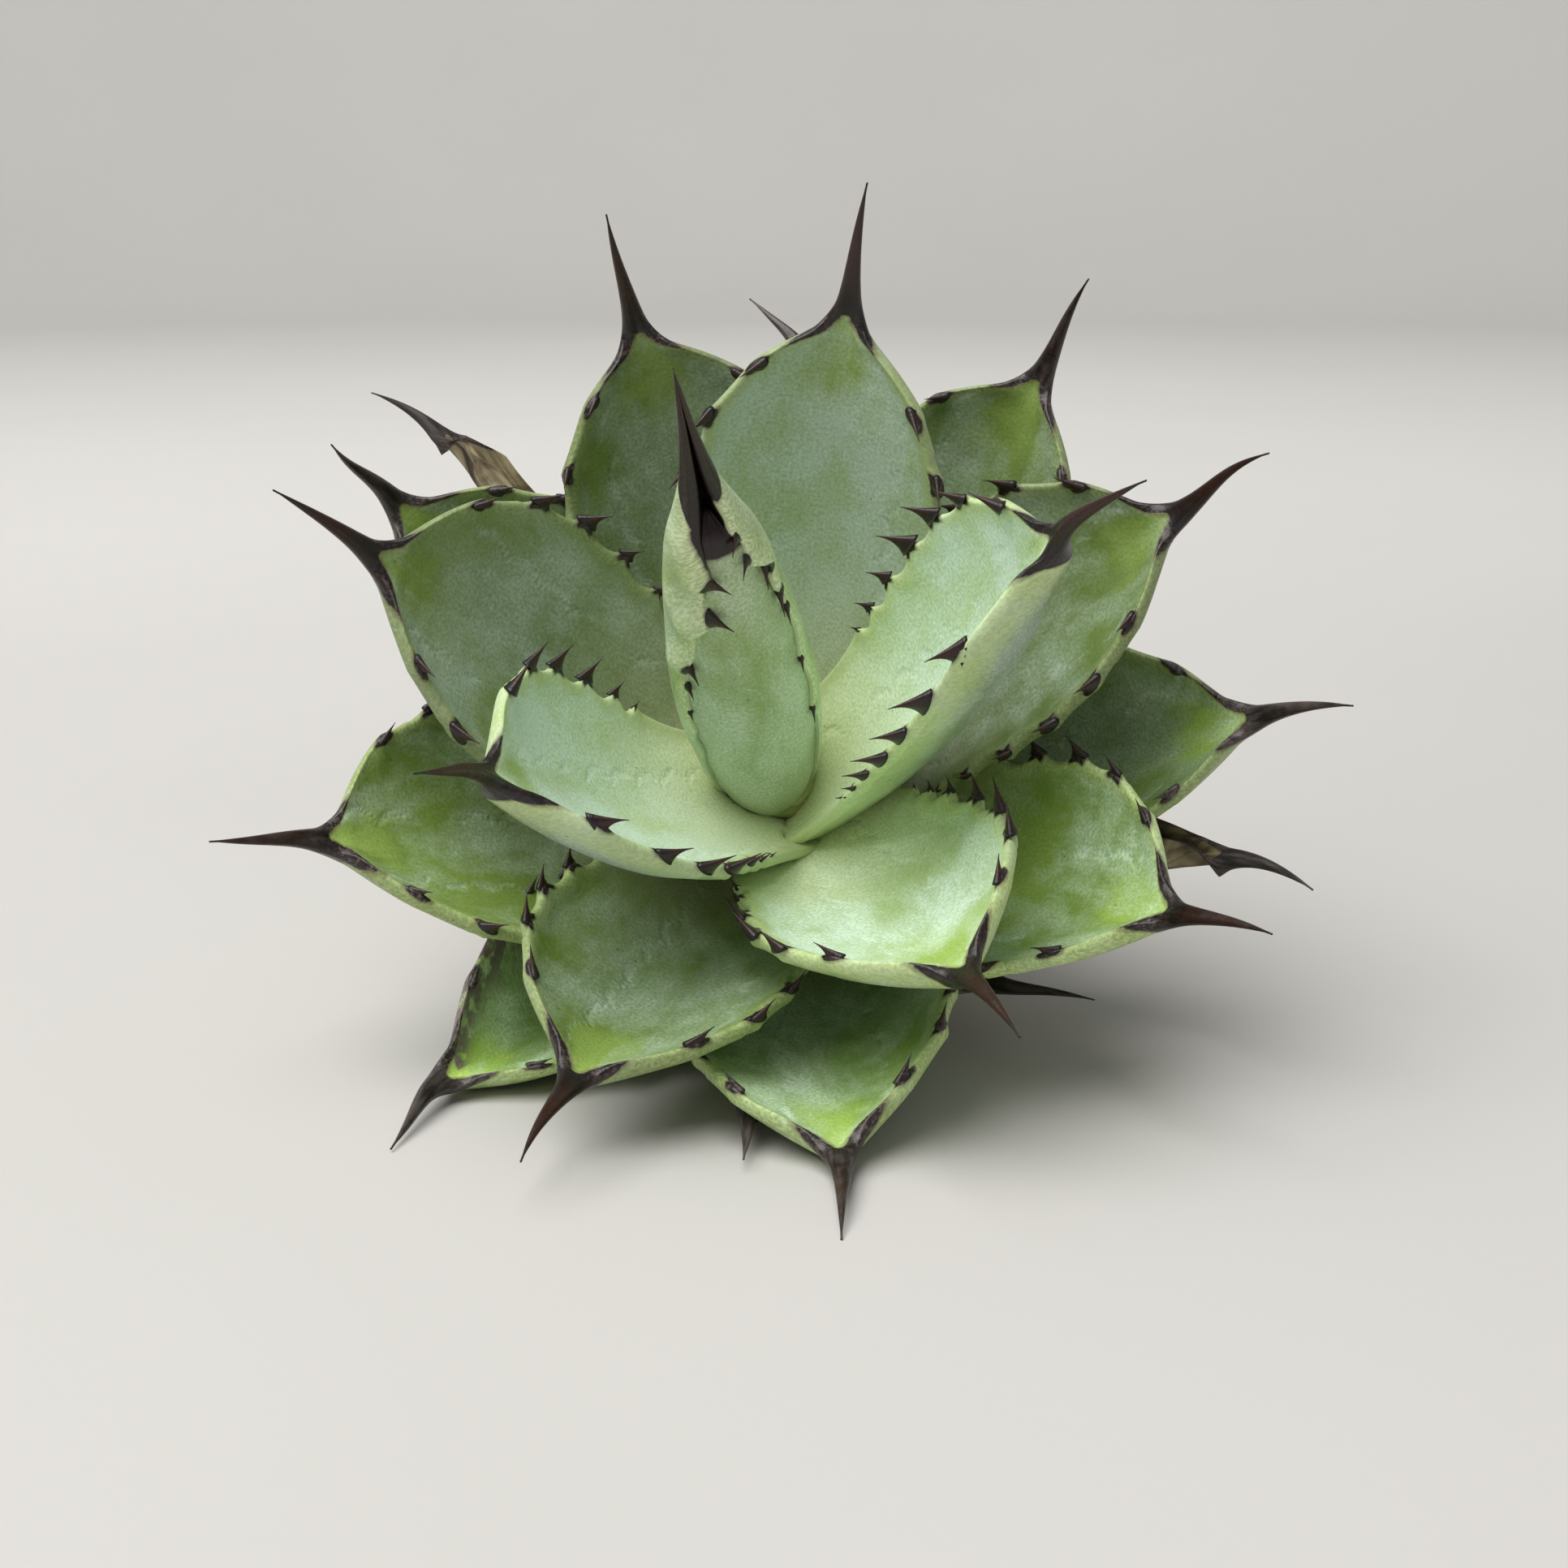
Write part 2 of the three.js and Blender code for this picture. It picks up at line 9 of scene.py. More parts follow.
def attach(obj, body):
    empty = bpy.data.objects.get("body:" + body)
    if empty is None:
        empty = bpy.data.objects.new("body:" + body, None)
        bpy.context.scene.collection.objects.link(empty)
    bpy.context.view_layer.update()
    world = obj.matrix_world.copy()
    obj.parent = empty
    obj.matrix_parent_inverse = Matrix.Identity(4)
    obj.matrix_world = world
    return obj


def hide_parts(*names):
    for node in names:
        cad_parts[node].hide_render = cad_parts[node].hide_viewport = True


# Compact agave rosette, unpotted, leaning on its lowest leaves and on the cut end of its stem.
# Metres and degrees, +Z up. Seen along +Y, +X is to the right and the rosette faces the viewer.
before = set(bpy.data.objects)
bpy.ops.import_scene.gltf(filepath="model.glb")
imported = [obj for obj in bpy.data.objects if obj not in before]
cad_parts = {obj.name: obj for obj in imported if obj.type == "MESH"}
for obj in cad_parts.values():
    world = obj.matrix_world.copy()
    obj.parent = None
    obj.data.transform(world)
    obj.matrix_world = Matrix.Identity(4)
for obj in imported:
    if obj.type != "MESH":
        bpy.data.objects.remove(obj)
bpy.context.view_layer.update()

# The rosette's axis, and the spiral that its leaves follow.
CENTRE = np.array([-0.00145, 0.0125, 0.0305])
AXIS_RISE = 40.3  # of the axis above the table
AXIS_TURN = 4.9  # of the axis from -Y towards -X
GOLDEN_ANGLE = 137.5
FIRST_AZIMUTH = 352.7
NODE_SPACING = 0.00137
SEAT_RADIUS = 0.0047
SEAT_GROWTH = 0.00025

# A full-grown leaf: blade, terminal spine and marginal teeth.
BLADE_LENGTH = 0.0575
BLADE_WIDTH = 0.0355
WIDEST_AT = 0.62  # share of the blade's length
BASE_WIDTH = 0.62  # share of its greatest width
SHOULDER = 2.2  # how full the outline stays towards the apex
BLUNTNESS = 1.4
APEX_THICKNESS = 0.0034
BASE_THICKENING = 0.0044
EDGE_THICKNESS = 0.0020
ROOT_LENGTH = 0.007  # of the base, running into the stem
SPINE_LENGTH = 0.0186
SPINE_RADIUS = 0.0020
SPINE_TIP_RADIUS = 0.00012
SPINE_FLARE = 0.0011  # more half-width where the spine leaves the blade
SPINE_SWAY = 0.0004
SPINE_DEPTH = 1.7  # its thickness as a share of its half-width
SPINE_GROOVE = 0.45  # share of half its thickness
SKIN_TONGUE = 0.0022  # how far green skin runs up the middle of its inner side
HORN_RUN = 0.0066  # how far the spine's horny base runs down the blade's margins
HORN_RUN_WIDTH = 0.0017
TOOTH_SPACING = 0.0058  # on one margin
FIRST_TOOTH = 0.24
LAST_TOOTH = 0.91
TOOTH_HEIGHT = 0.0030
TOOTH_SPREAD = (0.6, 1.27)  # share of the spacing near the base, and of it from mid blade on
TOOTH_FOOT = (0.0014, 0.0008)  # half-length and half-width of the horny oval under a tooth
TOOTH_LIFT = 0.0005  # how far the margin rises to a tooth
SCALLOP = 0.0015  # depth of the margin's bays between teeth
RIM_WIDTH = 0.0026  # of the pale rim on the inner face
RIM_WIDTH_BELOW = 0.0065
HORN_FADE = 0.002  # width over which skin turns to horn

# Fine relief of a leaf's faces, each with the length of its waves.
SWELL, SWELL_LENGTH = 0.00022, 0.016
FOLD, FOLD_LENGTH = 0.00010, 0.0035
CRUMPLE, CRUMPLE_LENGTH = 0.0008, 0.011
DRY_RIDGE = 0.0004
PRINT_LOBE = 0.0016  # of the marks that a neighbour's scalloped margin left
PRINT_FADE = 0.004


def leaf(turn, lean, bend, cup, twist, lift, swing, **sizes):
    """One leaf's own values, with the sizes that aren't the usual ones."""
    return dict(turn=turn, lean=lean, bend=bend, cup=cup, twist=twist, lift=lift, swing=swing, **sizes)


# Leaves from the youngest to the oldest. turn is off the golden angle, lean is from the axis at
# mid blade, bend and twist are over the blade's length, cup is how far the margins rise, and lift
# and swing turn the spine towards the inner face and towards increasing azimuth. shift moves the teeth
# along the two margins.
LEAVES = [
    leaf(5, 26, 28, 31, -6.5, -21, -3, length=0.063, width=0.0325, shift=(0.45, -0.2)),
    leaf(4.5, 31.5, 26, 23.5, -7, -12, 7, length=0.057),
    leaf(-3.5, 36, 18, 23, -4, -3, -3),
    leaf(-2.5, 45, 20, 24, 1, -16, -2.5, length=0.058),
    leaf(3.5, 41.5, 19, 18, 0, -1, 6, length=0.0585, width=0.038),
    leaf(-4, 52, 11.5, 24.5, -1, 8, -13, length=0.057),
    leaf(0, 52, 10.5, 23, -4.5, -7.5, 5, length=0.0585),
    leaf(-2, 48.5, 23, 19.5, 3, 11.5, 1, length=0.058),
    leaf(-6, 54, 23, 22.5, 0.5, -6.5, -4, length=0.058),
    leaf(4, 53, 17.5, 19.5, 1.5, -1.5, 6, length=0.058, width=0.0375),
    leaf(-4.5, 56.5, 24, 23.5, -1, 13, -7, length=0.059, spine=0.0178),
    leaf(-2, 51.5, 16.5, 23.5, 0, -7.5, -4, length=0.0635, spine=0.019),
    leaf(4, 55, 28, 23, -1, 23, 11, length=0.059, spine=0.0178),
    leaf(-5.5, 58.5, 26, 31.5, 3, 3, -15.5, width=0.034),
    leaf(1.5, 58, 26, 42, -10, -1.7, 16.5, width=0.032, spine=0.0178),
    leaf(-3, 70, 16, 23, 0, -20, 35, length=0.059, spine=0.014),
    leaf(1.5, 58.5, 16, 20, 0, -9, 14.5, length=0.0305, width=0.025),
    leaf(-3, 70, 14, 20, 0, 0, -6, length=0.03, width=0.024, spine=0.012),
    leaf(3, 70, 14, 20, 0, 0, 6, length=0.032, width=0.025, spine=0.012),
]
DRY_LEAVES = [
    leaf(7, 43.5, 12, 30, 10, -9, 1, length=0.055, width=0.015, spine=0.016),
    leaf(7.5, 66, 6, 45, 30, -21, 9, length=0.066, width=0.0085, spine=0.014),
    leaf(1, 56, 16, 40, -25, -10, -21, length=0.0545, width=0.013),
]
# Painted light and shade: how far the skin colour of each leaf, and of the bud's two, is brightened or
# darkened to stand in for how lit it is.
PAINTED_LIGHT = [1.3, 1.2, 0.85, 1.35, 0.65, 0.7, 1.0, 0.6, 1.55, 1.0, 0.78, 1.5, 0.9, 1.15, 1.8] + [1.0] * 7
WRAP_PAINTED_LIGHT, INNER_PAINTED_LIGHT = 1.2, 1.05
DRY_ROLL = 24  # more cup, as the margins roll in while a leaf dries
DRY_THICKNESS = 0.4  # share of a living leaf's
DRY_WIDTH = 0.62  # share of its solid's, which its rolled margins leave
FIRST_OLD_LEAF = 11
SCARRED_LEAF = 14
OLDEST = 18

# Bud: the cone of unopened leaves. Heights are along the bud's own axis.
BUD_LEAN_ACROSS = -3  # towards azimuth 0
BUD_LEAN_BACK = 5.9  # towards azimuth 90
BUD_OFFSET = -0.0015  # of its foot, towards azimuth 0
BUD_OUTLINE = [
    (-0.006, 0.0036), (0.0, 0.0063), (0.010, 0.0081), (0.020, 0.0089), (0.030, 0.0083), (0.042, 0.0069),
    (0.050, 0.0055), (0.055, 0.0039), (0.060, 0.0024), (0.067, 0.0012), (0.0784, 0.00015),
]
# The outer bud leaf's two margins, as heights and azimuths, and the heights and sizes of their teeth.
LEFT_MARGIN = [
    (-0.006, 200), (0.010, 216), (0.016, 226), (0.0185, 222), (0.0205, 225), (0.022, 220), (0.0241, 223),
    (0.027, 220), (0.0294, 226), (0.031, 222), (0.0336, 231), (0.036, 237), (0.040, 241), (0.0430, 264),
    (0.0450, 258), (0.0475, 259), (0.0500, 270), (0.052, 265), (0.0555, 260), (0.064, 268), (0.0784, 285),
]
RIGHT_MARGIN = [
    (-0.006, -6), (0.006, -7), (0.016, -13), (0.0194, -21), (0.024, -14), (0.0291, -18), (0.034, -9),
    (0.0385, -12), (0.041, -12), (0.0443, -27), (0.0470, -19), (0.0498, -42), (0.0518, -34), (0.0540, -46),
    (0.0562, -42), (0.064, -52), (0.0784, -75),
]
LEFT_TEETH = [(0.0490, 0.7), (0.0434, 0.7), (0.0336, 0.6), (0.0294, 0.4), (0.0241, 0.25)]
RIGHT_TEETH = [
    (0.0532, 0.4), (0.05, 0.42), (0.047, 0.55), (0.0416, 0.6), (0.0383, 0.42), (0.0291, 0.3), (0.0194, 0.3),
]
BUD_TOOTH_HEIGHT = 0.0040
BUD_TOOTH_FOOT = (0.0015, 0.0011)
WRAP_THICKNESS = 0.0022
WRAP_EDGE_THICKNESS = 0.0006
CHANNEL_START = 0.0556  # height where the outer leaf's margins meet in the spine's groove
INNER_TOP = 0.0558
INNER_INSET = 0.0009  # of the inner bud leaf's face below the outer leaf's
INNER_MARK = 0.00022  # height of the marks on its face

# Stem, with its cut end and the stubs of its trimmed roots.
STEM_TOP = 0.0015
STEM_END = -0.036
STEM_CLEARANCE = 0.0004
ROOT_STUBS = 6
ROOT_HEIGHT = -0.0325
ROOT_RADIUS = 0.0014
ROOT_LENGTHS = (0.007, 0.005, 0.008)

# Where the pieces lie in the space of the materials' noises, so that no two of them look alike.
LEAF_ZONE, WRAP_ZONE, INNER_ZONE, STEM_ZONE, ROOT_ZONE = 0.11, 3.1, 3.6, 5.0, 5.3

rng = np.random.default_rng(19)


# Small vector and curve tools

def unit(v):
    return v / np.linalg.norm(v, axis=-1, keepdims=True)


def mix(a, b, t):
    return a + (b - a) * t


def smooth(low, high, x):
    """0 below low, 1 above high, and an even ease between."""
    t = np.clip((x - low) / (high - low), 0, 1)
    return t * t * (3 - 2 * t)


def bump(x, width):
    """1 at nought, falling to nothing a few widths away."""
    return np.exp(-((x / width) ** 2))


def eased(table, place):
    """Smooth interpolation in rows of (place, value), level at each row."""
    places, values = np.array(table, float).T
    k = np.clip(np.searchsorted(places, place) - 1, 0, len(places) - 2)
    return mix(values[k], values[k + 1], smooth(places[k], places[k + 1], place))


def waves(x, y, seed, length, count=5):
    """Soft rolling relief between about -1 and 1 over a surface, with waves of about that length."""
    draw = np.random.default_rng(seed)
    total = np.zeros(np.broadcast(x, y).shape)
    for _ in range(count):
        angle, phase = draw.uniform(0, 2 * math.pi, 2)
        reach = length * draw.uniform(0.7, 1.5)
        total += np.sin(2 * math.pi * (x * math.cos(angle) + y * math.sin(angle)) / reach + phase)
    return total / count


# Frames: an origin, an axis, and the directions of azimuth 0 and 90 square to the axis

def frame_about(origin, axis, across):
    east = unit(across - axis * (across @ axis))
    return dict(origin=origin, axis=axis, east=east, north=np.cross(axis, east))


def radial(about, azimuth):
    turn = np.radians(azimuth)[..., None]
    return np.cos(turn) * about["east"] + np.sin(turn) * about["north"]


def place_in(about, height, azimuth, radius):
    height, azimuth, radius = np.broadcast_arrays(height, azimuth, radius)
    return (about["origin"] + height[..., None] * about["axis"]
            + radius[..., None] * radial(about, azimuth))


rise, turn = math.radians(AXIS_RISE), math.radians(AXIS_TURN)
rosette = frame_about(
    CENTRE,
    np.array([-math.sin(turn) * math.cos(rise), -math.cos(turn) * math.cos(rise), math.sin(rise)]),
    np.array([1.0, 0.0, 0.0]),
)
bud = frame_about(
    place_in(rosette, 0.0, 0.0, BUD_OFFSET),
    unit(rosette["axis"] + rosette["east"] * math.tan(math.radians(BUD_LEAN_ACROSS))
         + rosette["north"] * math.tan(math.radians(BUD_LEAN_BACK))),
    rosette["east"],
)


# Meshes: a piece is gathered as parts, each with its points, faces and values at the points

VALUES = ("horn", "tip", "rim", "base", "apex", "outer", "print", "age", "scar", "youth", "tone")


def tube_faces(rings, sides):
    """Faces between rings of points, each closed round, with a fan at both ends."""
    k = np.arange(sides)
    after = (k + 1) % sides
    start = np.arange(rings - 1)[:, None] * sides
    quads = np.stack([start + k, start + after, start + sides + after, start + sides + k], -1)
    last = (rings - 1) * sides
    low, high = rings * sides, rings * sides + 1
    ends = [(low, b, a) for a, b in zip(k, after)] + [(high, last + a, last + b) for a, b in zip(k, after)]
    return [tuple(q) for q in quads.reshape(-1, 4)] + ends


def tube_part(grid, place, **values):
    """A closed body from a grid of points, ring by ring. Its place and values are grids or single numbers,
    and values that aren't named are nought. Rings that would dip under the table are lifted onto it."""
    grid = grid.copy()
    grid[..., 2] -= np.minimum(grid[..., 2].min(axis=1, keepdims=True), 0)
    rings, sides = grid.shape[:2]

    def flat(value):
        value = np.broadcast_to(value, (rings, sides)).astype(float)
        return np.concatenate([value.ravel(), [value[0].mean(), value[-1].mean()]])

    return dict(
        points=np.concatenate([grid.reshape(-1, 3), [grid[0].mean(0), grid[-1].mean(0)]]),
        faces=tube_faces(rings, sides),
        place=np.stack([flat(each) for each in place], -1),
        **{name: flat(values.get(name, 0.0)) for name in VALUES},
    )


def new_object(name, data):
    thing = bpy.data.objects.new(name, data)
    bpy.context.scene.collection.objects.link(thing)
    return thing


def smooth_mesh(name, points, faces, material):
    """A smooth-shaded mesh object."""
    mesh = bpy.data.meshes.new(name)
    mesh.from_pydata(points, [], faces)
    mesh.polygons.foreach_set("use_smooth", np.ones(len(faces), bool))
    mesh.materials.append(material)
    return new_object(name, mesh)


def make_piece(name, parts, material, node):
    """A mesh object from its parts, in the place of its node."""
    def gathered(key):
        return np.concatenate([each[key] for each in parts])

    starts = np.cumsum([0] + [len(each["points"]) for each in parts])
    faces = [tuple(int(k + start) for k in face)
             for each, start in zip(parts, starts) for face in each["faces"]]
    piece = smooth_mesh(name, gathered("points"), faces, material)
    place = piece.data.attributes.new("place", "FLOAT_VECTOR", "POINT")
    place.data.foreach_set("vector", gathered("place").ravel())
    for value in VALUES:
        layer = piece.data.attributes.new(value, "FLOAT", "POINT")
        layer.data.foreach_set("value", gathered(value))
    piece.data.update()
    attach(piece, "root")
    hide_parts(node)


def horn_share(depth):
    """Nought on skin and 1 on horn, by how far a point is inside the horn's edge."""
    return np.clip(0.5 + depth / HORN_FADE, 0, 1)


# Leaves

def outline(t):
    """Half-width of a blade as a share of its greatest half-width, at a share of its length."""
    rising = BASE_WIDTH + (1 - BASE_WIDTH) * np.sin(math.pi / 2 * np.clip(t, 0, WIDEST_AT) / WIDEST_AT) ** 2
    past = np.clip((t - WIDEST_AT) / (1 - WIDEST_AT), 0, 1)
    closing = (1 - past ** SHOULDER) ** (1 / BLUNTNESS)
    return np.where(t < 0, BASE_WIDTH * (1 + t), np.where(t < WIDEST_AT, rising, closing))


def leaf_form(values, rank):
    """A leaf's sizes, its seat on the stem and its own draw of small differences."""
    azimuth = FIRST_AZIMUTH - GOLDEN_ANGLE * rank + values["turn"]
    usual = dict(
        rank=rank,
        dry=rank >= len(LEAVES),
        length=BLADE_LENGTH,
        width=BLADE_WIDTH,
        spine=SPINE_LENGTH,
        out=radial(rosette, azimuth),
        side=radial(rosette, azimuth + 90),
        seat=place_in(rosette, -NODE_SPACING * rank, azimuth, SEAT_RADIUS + SEAT_GROWTH * rank),
        sway=rng.uniform(-1, 1, 2) * SPINE_SWAY,
        shift=rng.uniform(-0.3, 0.3, 2),
    )
    return {**usual, **values}


def blade_frame(form, t):
    """The middle of a leaf's inner face and its three directions, at shares of the blade's length."""
    first, curl = math.radians(form["lean"] + form["bend"] / 2), math.radians(form["bend"])
    ahead = np.maximum(t, 0)
    lean = (first - curl * ahead)[:, None]
    roll = (math.radians(form["twist"]) * ahead)[:, None]
    out, axis, side = form["out"], rosette["axis"], form["side"]
    tangent = np.sin(lean) * out + np.cos(lean) * axis
    inward = -np.cos(lean) * out + np.sin(lean) * axis
    across = np.cos(roll) * side + np.sin(roll) * inward
    normal = np.cos(roll) * inward - np.sin(roll) * side
    place = form["seat"] + form["length"] * (
        out * (np.cos(lean) - math.cos(first)) + axis * (math.sin(first) - np.sin(lean))) / curl
    return place + tangent * (np.minimum(t, 0) * form["length"])[:, None], tangent, across, normal


def spine_frame(form, v):
    """The same along the terminal spine, which leaves the blade straight on and bends to its own way."""
    start, ahead, across, normal = (each[0] for each in blade_frame(form, np.array([1.0])))
    lift, swing = math.radians(form["lift"]), math.radians(form["swing"])
    towards = unit(ahead * math.cos(lift) * math.cos(swing) + normal * math.sin(lift)
                   + across * math.sin(swing))
    v = v[:, None]
    handle, end = ahead * form["spine"] * 0.4, towards * form["spine"]
    place = start + 2 * v * (1 - v) * handle + v * v * end
    tangent = unit(2 * (1 - 2 * v) * handle + 2 * v * end)
    level = unit(across - tangent * (tangent @ across)[:, None])
    bow = np.sin(2 * math.pi * v) * v ** 0.5
    place = place + bow * (form["sway"][0] * level + form["sway"][1] * normal)
    return place, tangent, level, np.cross(tangent, level)


def leaf_rows(form):
    """Places of a leaf's rings, as distances from the blade's apex: the blade's are negative."""
    blade_step, apex_step, spine_step, last_step = 0.00075, 0.00032, 0.0007, 0.0004
    rows, place = [], -(form["length"] + ROOT_LENGTH)
    while place < form["spine"]:
        rows.append(place)
        near = bump(place, 0.006)
        place += mix(blade_step, apex_step, near) if place < 0.004 else spine_step
    return np.array(rows[:-1] + [form["spine"] - last_step, form["spine"]])


INNER_POINTS, EDGE_POINTS, OUTER_POINTS = 41, 5, 27


def leaf_ring():
    """One ring round a leaf: how far across each point is, and how far it is round to the outer face."""
    def row(count):
        """Places across a face, closer together near its margins."""
        x = np.linspace(-1, 1, count)
        return 0.55 * x + 0.45 * np.sin(math.pi / 2 * x)

    turn_in = np.linspace(0, 1, EDGE_POINTS + 2)[1:-1]
    inner, outer = row(INNER_POINTS), row(OUTER_POINTS)[::-1]
    across = np.concatenate([inner, np.ones(EDGE_POINTS), outer, -np.ones(EDGE_POINTS)])
    face = np.concatenate([np.zeros(INNER_POINTS), turn_in, np.ones(OUTER_POINTS), turn_in[::-1]])
    return across, face


def tooth_places(form, side):
    """Distances from the apex of the teeth on one margin, closer together towards the base."""
    places = []
    t = LAST_TOOTH - 0.06 * form["shift"][0 if side < 0 else 1] - (0.02 if side < 0 else 0)
    while t > FIRST_TOOTH:
        places.append((t - 1) * form["length"])
        t -= TOOTH_SPACING * mix(*TOOTH_SPREAD, smooth(0.22, 0.62, t)) / form["length"]
    return np.array(places)


def tooth_size(t):
    """A tooth's size as a share of the greatest, by its place on the blade."""
    return mix(0.22, 1.0, smooth(0.2, 0.62, t))


def bays(places, d):
    """How far the margin falls back between teeth: nought at a tooth, 1 in a wide bay."""
    depth = np.zeros_like(d)
    for low, high in zip(places[1:], places[:-1]):
        x = np.clip((d - low) / (high - low), 0, 1)
        depth += (4 * x * (1 - x)) ** 0.75 * min((high - low) / TOOTH_SPACING, 1)
    return depth


def spine_turn(s, face, on_edge):
    """Where the points of a ring go round the spine, in radians from its side over its inner face."""
    turn = np.where(face == 0, (1 - s) / 2 * 0.86 + 0.07, 0)
    turn = np.where(face == 1, 1.07 + 0.86 * (s + 1) / 2, turn)
    turn = np.where(on_edge & (s > 0), mix(0.07, -0.07, face), turn)
    turn = np.where(on_edge & (s < 0), mix(0.93, 1.07, face), turn)
    return np.pi * turn


def leaf_surface(form, younger):
    """The blade and its terminal spine as one grid of points, with the values that colour it."""
    length, rank, dry = form["length"], form["rank"], form["dry"]
    d = leaf_rows(form)
    t, v = 1 + np.minimum(d, 0) / length, np.clip(d / form["spine"], 0, 1)
    on_blade = (d <= 0)[:, None]
    frames = [np.where(on_blade, a, b) for a, b in zip(blade_frame(form, t), spine_frame(form, v))]
    origin, _, across_way, normal = (each[:, None, :] for each in frames)
    d, t, v = d[:, None], t[:, None], v[:, None]
    s, face = (each[None, :] for each in leaf_ring())
    on_edge = (np.abs(s) == 1) & (face > 0) & (face < 1)

    # Half-width, cup and thickness of each ring: the blade's margins run on into the spine.
    taper = 0.75 * (1 - v) ** 0.85 + 0.25 * (1 - v) ** 4
    slim = np.maximum(SPINE_RADIUS * taper, SPINE_TIP_RADIUS)
    flare = slim + SPINE_FLARE * np.exp(-np.maximum(d, 0) / 0.0018) + 0.5 * np.maximum(-d, 0)
    blade_half = np.where(d < 0, form["width"] / 2 * outline(t), 0)
    half = np.where(d < 0, (blade_half ** 3 + np.minimum(flare, 0.006) ** 3) ** (1 / 3), flare)
    half = np.where(t < 0.8, np.maximum(blade_half, 0.001), half)
    rolled = DRY_ROLL if dry else 0
    cup = np.radians(form["cup"] + rolled) * np.clip(0.6 + t, 0.6, 1) * (1 - v) ** 3
    middle = APEX_THICKNESS + BASE_THICKENING * (1 - np.clip(t, 0, 1)) ** 1.5
    middle = middle * (DRY_THICKNESS if dry else 1.0)
    edge = np.minimum(EDGE_THICKNESS, middle * 0.6)
    middle, edge = np.where(d < 0, middle, slim * SPINE_DEPTH), np.where(d < 0, edge, slim * 0.9)

    curve = ((s * s + 0.02) ** 0.85 - 0.02 ** 0.85) / (1.02 ** 0.85 - 0.02 ** 0.85)
    depth = edge + (middle - edge) * (1 - s * s)
    round_out = np.where(on_edge, np.sin(math.pi * face) * edge * 0.32, 0)
    below = np.where(face == 1, depth, edge * (1 - np.cos(math.pi * face)) / 2)
    sideways = half * np.cos(cup) * s + np.sign(s) * round_out * np.cos(cup)
    upward = half * np.sin(cup) * curve + round_out * np.sin(cup) - below

    # On the spine the ring turns into an ellipse, with a groove in its inner side.
    turn, deep = spine_turn(s, face, on_edge), middle / 2
    groove = SPINE_GROOVE * deep * bump(np.cos(turn), 0.5) * (np.sin(turn) > 0) * (1 - v) ** 2
    to_round = smooth(-0.0015, 0.0045, d)
    sideways = mix(sideways, half * np.cos(turn), to_round)
    upward = mix(upward, deep * (np.sin(turn) - 1) - groove, to_round)

    # The margins fall back between teeth and rise to each of them.
    x, y = half * s, d + length
    inside = half * (1 - np.abs(s))
    to_margin = np.where(face == 0, smooth(0.0045, 0.0, inside), 0)
    to_margin = np.where(on_edge, 1 - 0.5 * face, to_margin)
    to_margin = np.where(face == 1, 0.5 * smooth(0.006, 0.0, inside), to_margin)
    nearest = np.full_like(inside, 5.0)
    for side in (-1, 1):
        places = tooth_places(form, side)
        if dry or len(places) < 2:
            continue
        here = to_margin * (s * side > 0)
        strength = smooth(0, 0.3, t) * mix(1.3, 0.8, smooth(0.5, 0.9, t))
        fall = SCALLOP * bays(places, d) * strength
        lift = TOOTH_LIFT * sum(bump(d - place, 0.0013) for place in places)
        sideways = sideways - side * fall * here * np.cos(cup)
        upward = upward - fall * here * np.sin(cup) + lift * here * (face < 0.6)
        gap = np.min([np.abs(d - place) for place in places], axis=0)
        outward = np.where(face == 0, inside, face * 0.002)
        spot = np.hypot(gap / TOOTH_FOOT[0], outward / TOOTH_FOOT[1]) / tooth_size(t)
        nearest = np.where((s * side > 0) & (face < 1), np.minimum(nearest, spot), nearest)

    # Soft unevenness of the faces, with small folds near the apex, and the creases of a dried leaf.
    seed = 100 + rank
    swell = SWELL * waves(x, y, seed, SWELL_LENGTH) * np.clip(inside / 0.003, 0, 1)
    folds = FOLD * waves(x * 0.4, y, seed + 50, FOLD_LENGTH) * smooth(0.5, 0.95, t)
    upward = upward + (swell + folds * (face == 0)) * (1 - to_round)
    if dry:
        ridges = np.sin(9 * s + 3 * np.sin(y * 90 + rank)) * DRY_RIDGE
        crumple = CRUMPLE * waves(x * 2, y, seed, CRUMPLE_LENGTH) - CRUMPLE / 2
        upward = upward + (ridges + crumple) * (1 - to_round) * smooth(-0.1, 0.2, t)
        sideways = sideways * mix(DRY_WIDTH + 0.12 * np.sin(y * 420 + rank), 1.0, to_round)

    points = origin + sideways[..., None] * across_way + upward[..., None] * normal
    down, tree = np.broadcast_to(-normal, points.shape), solids_tree(younger)
    if dry:
        keep_below(points, down, tree)
    settle(points, down, tree)

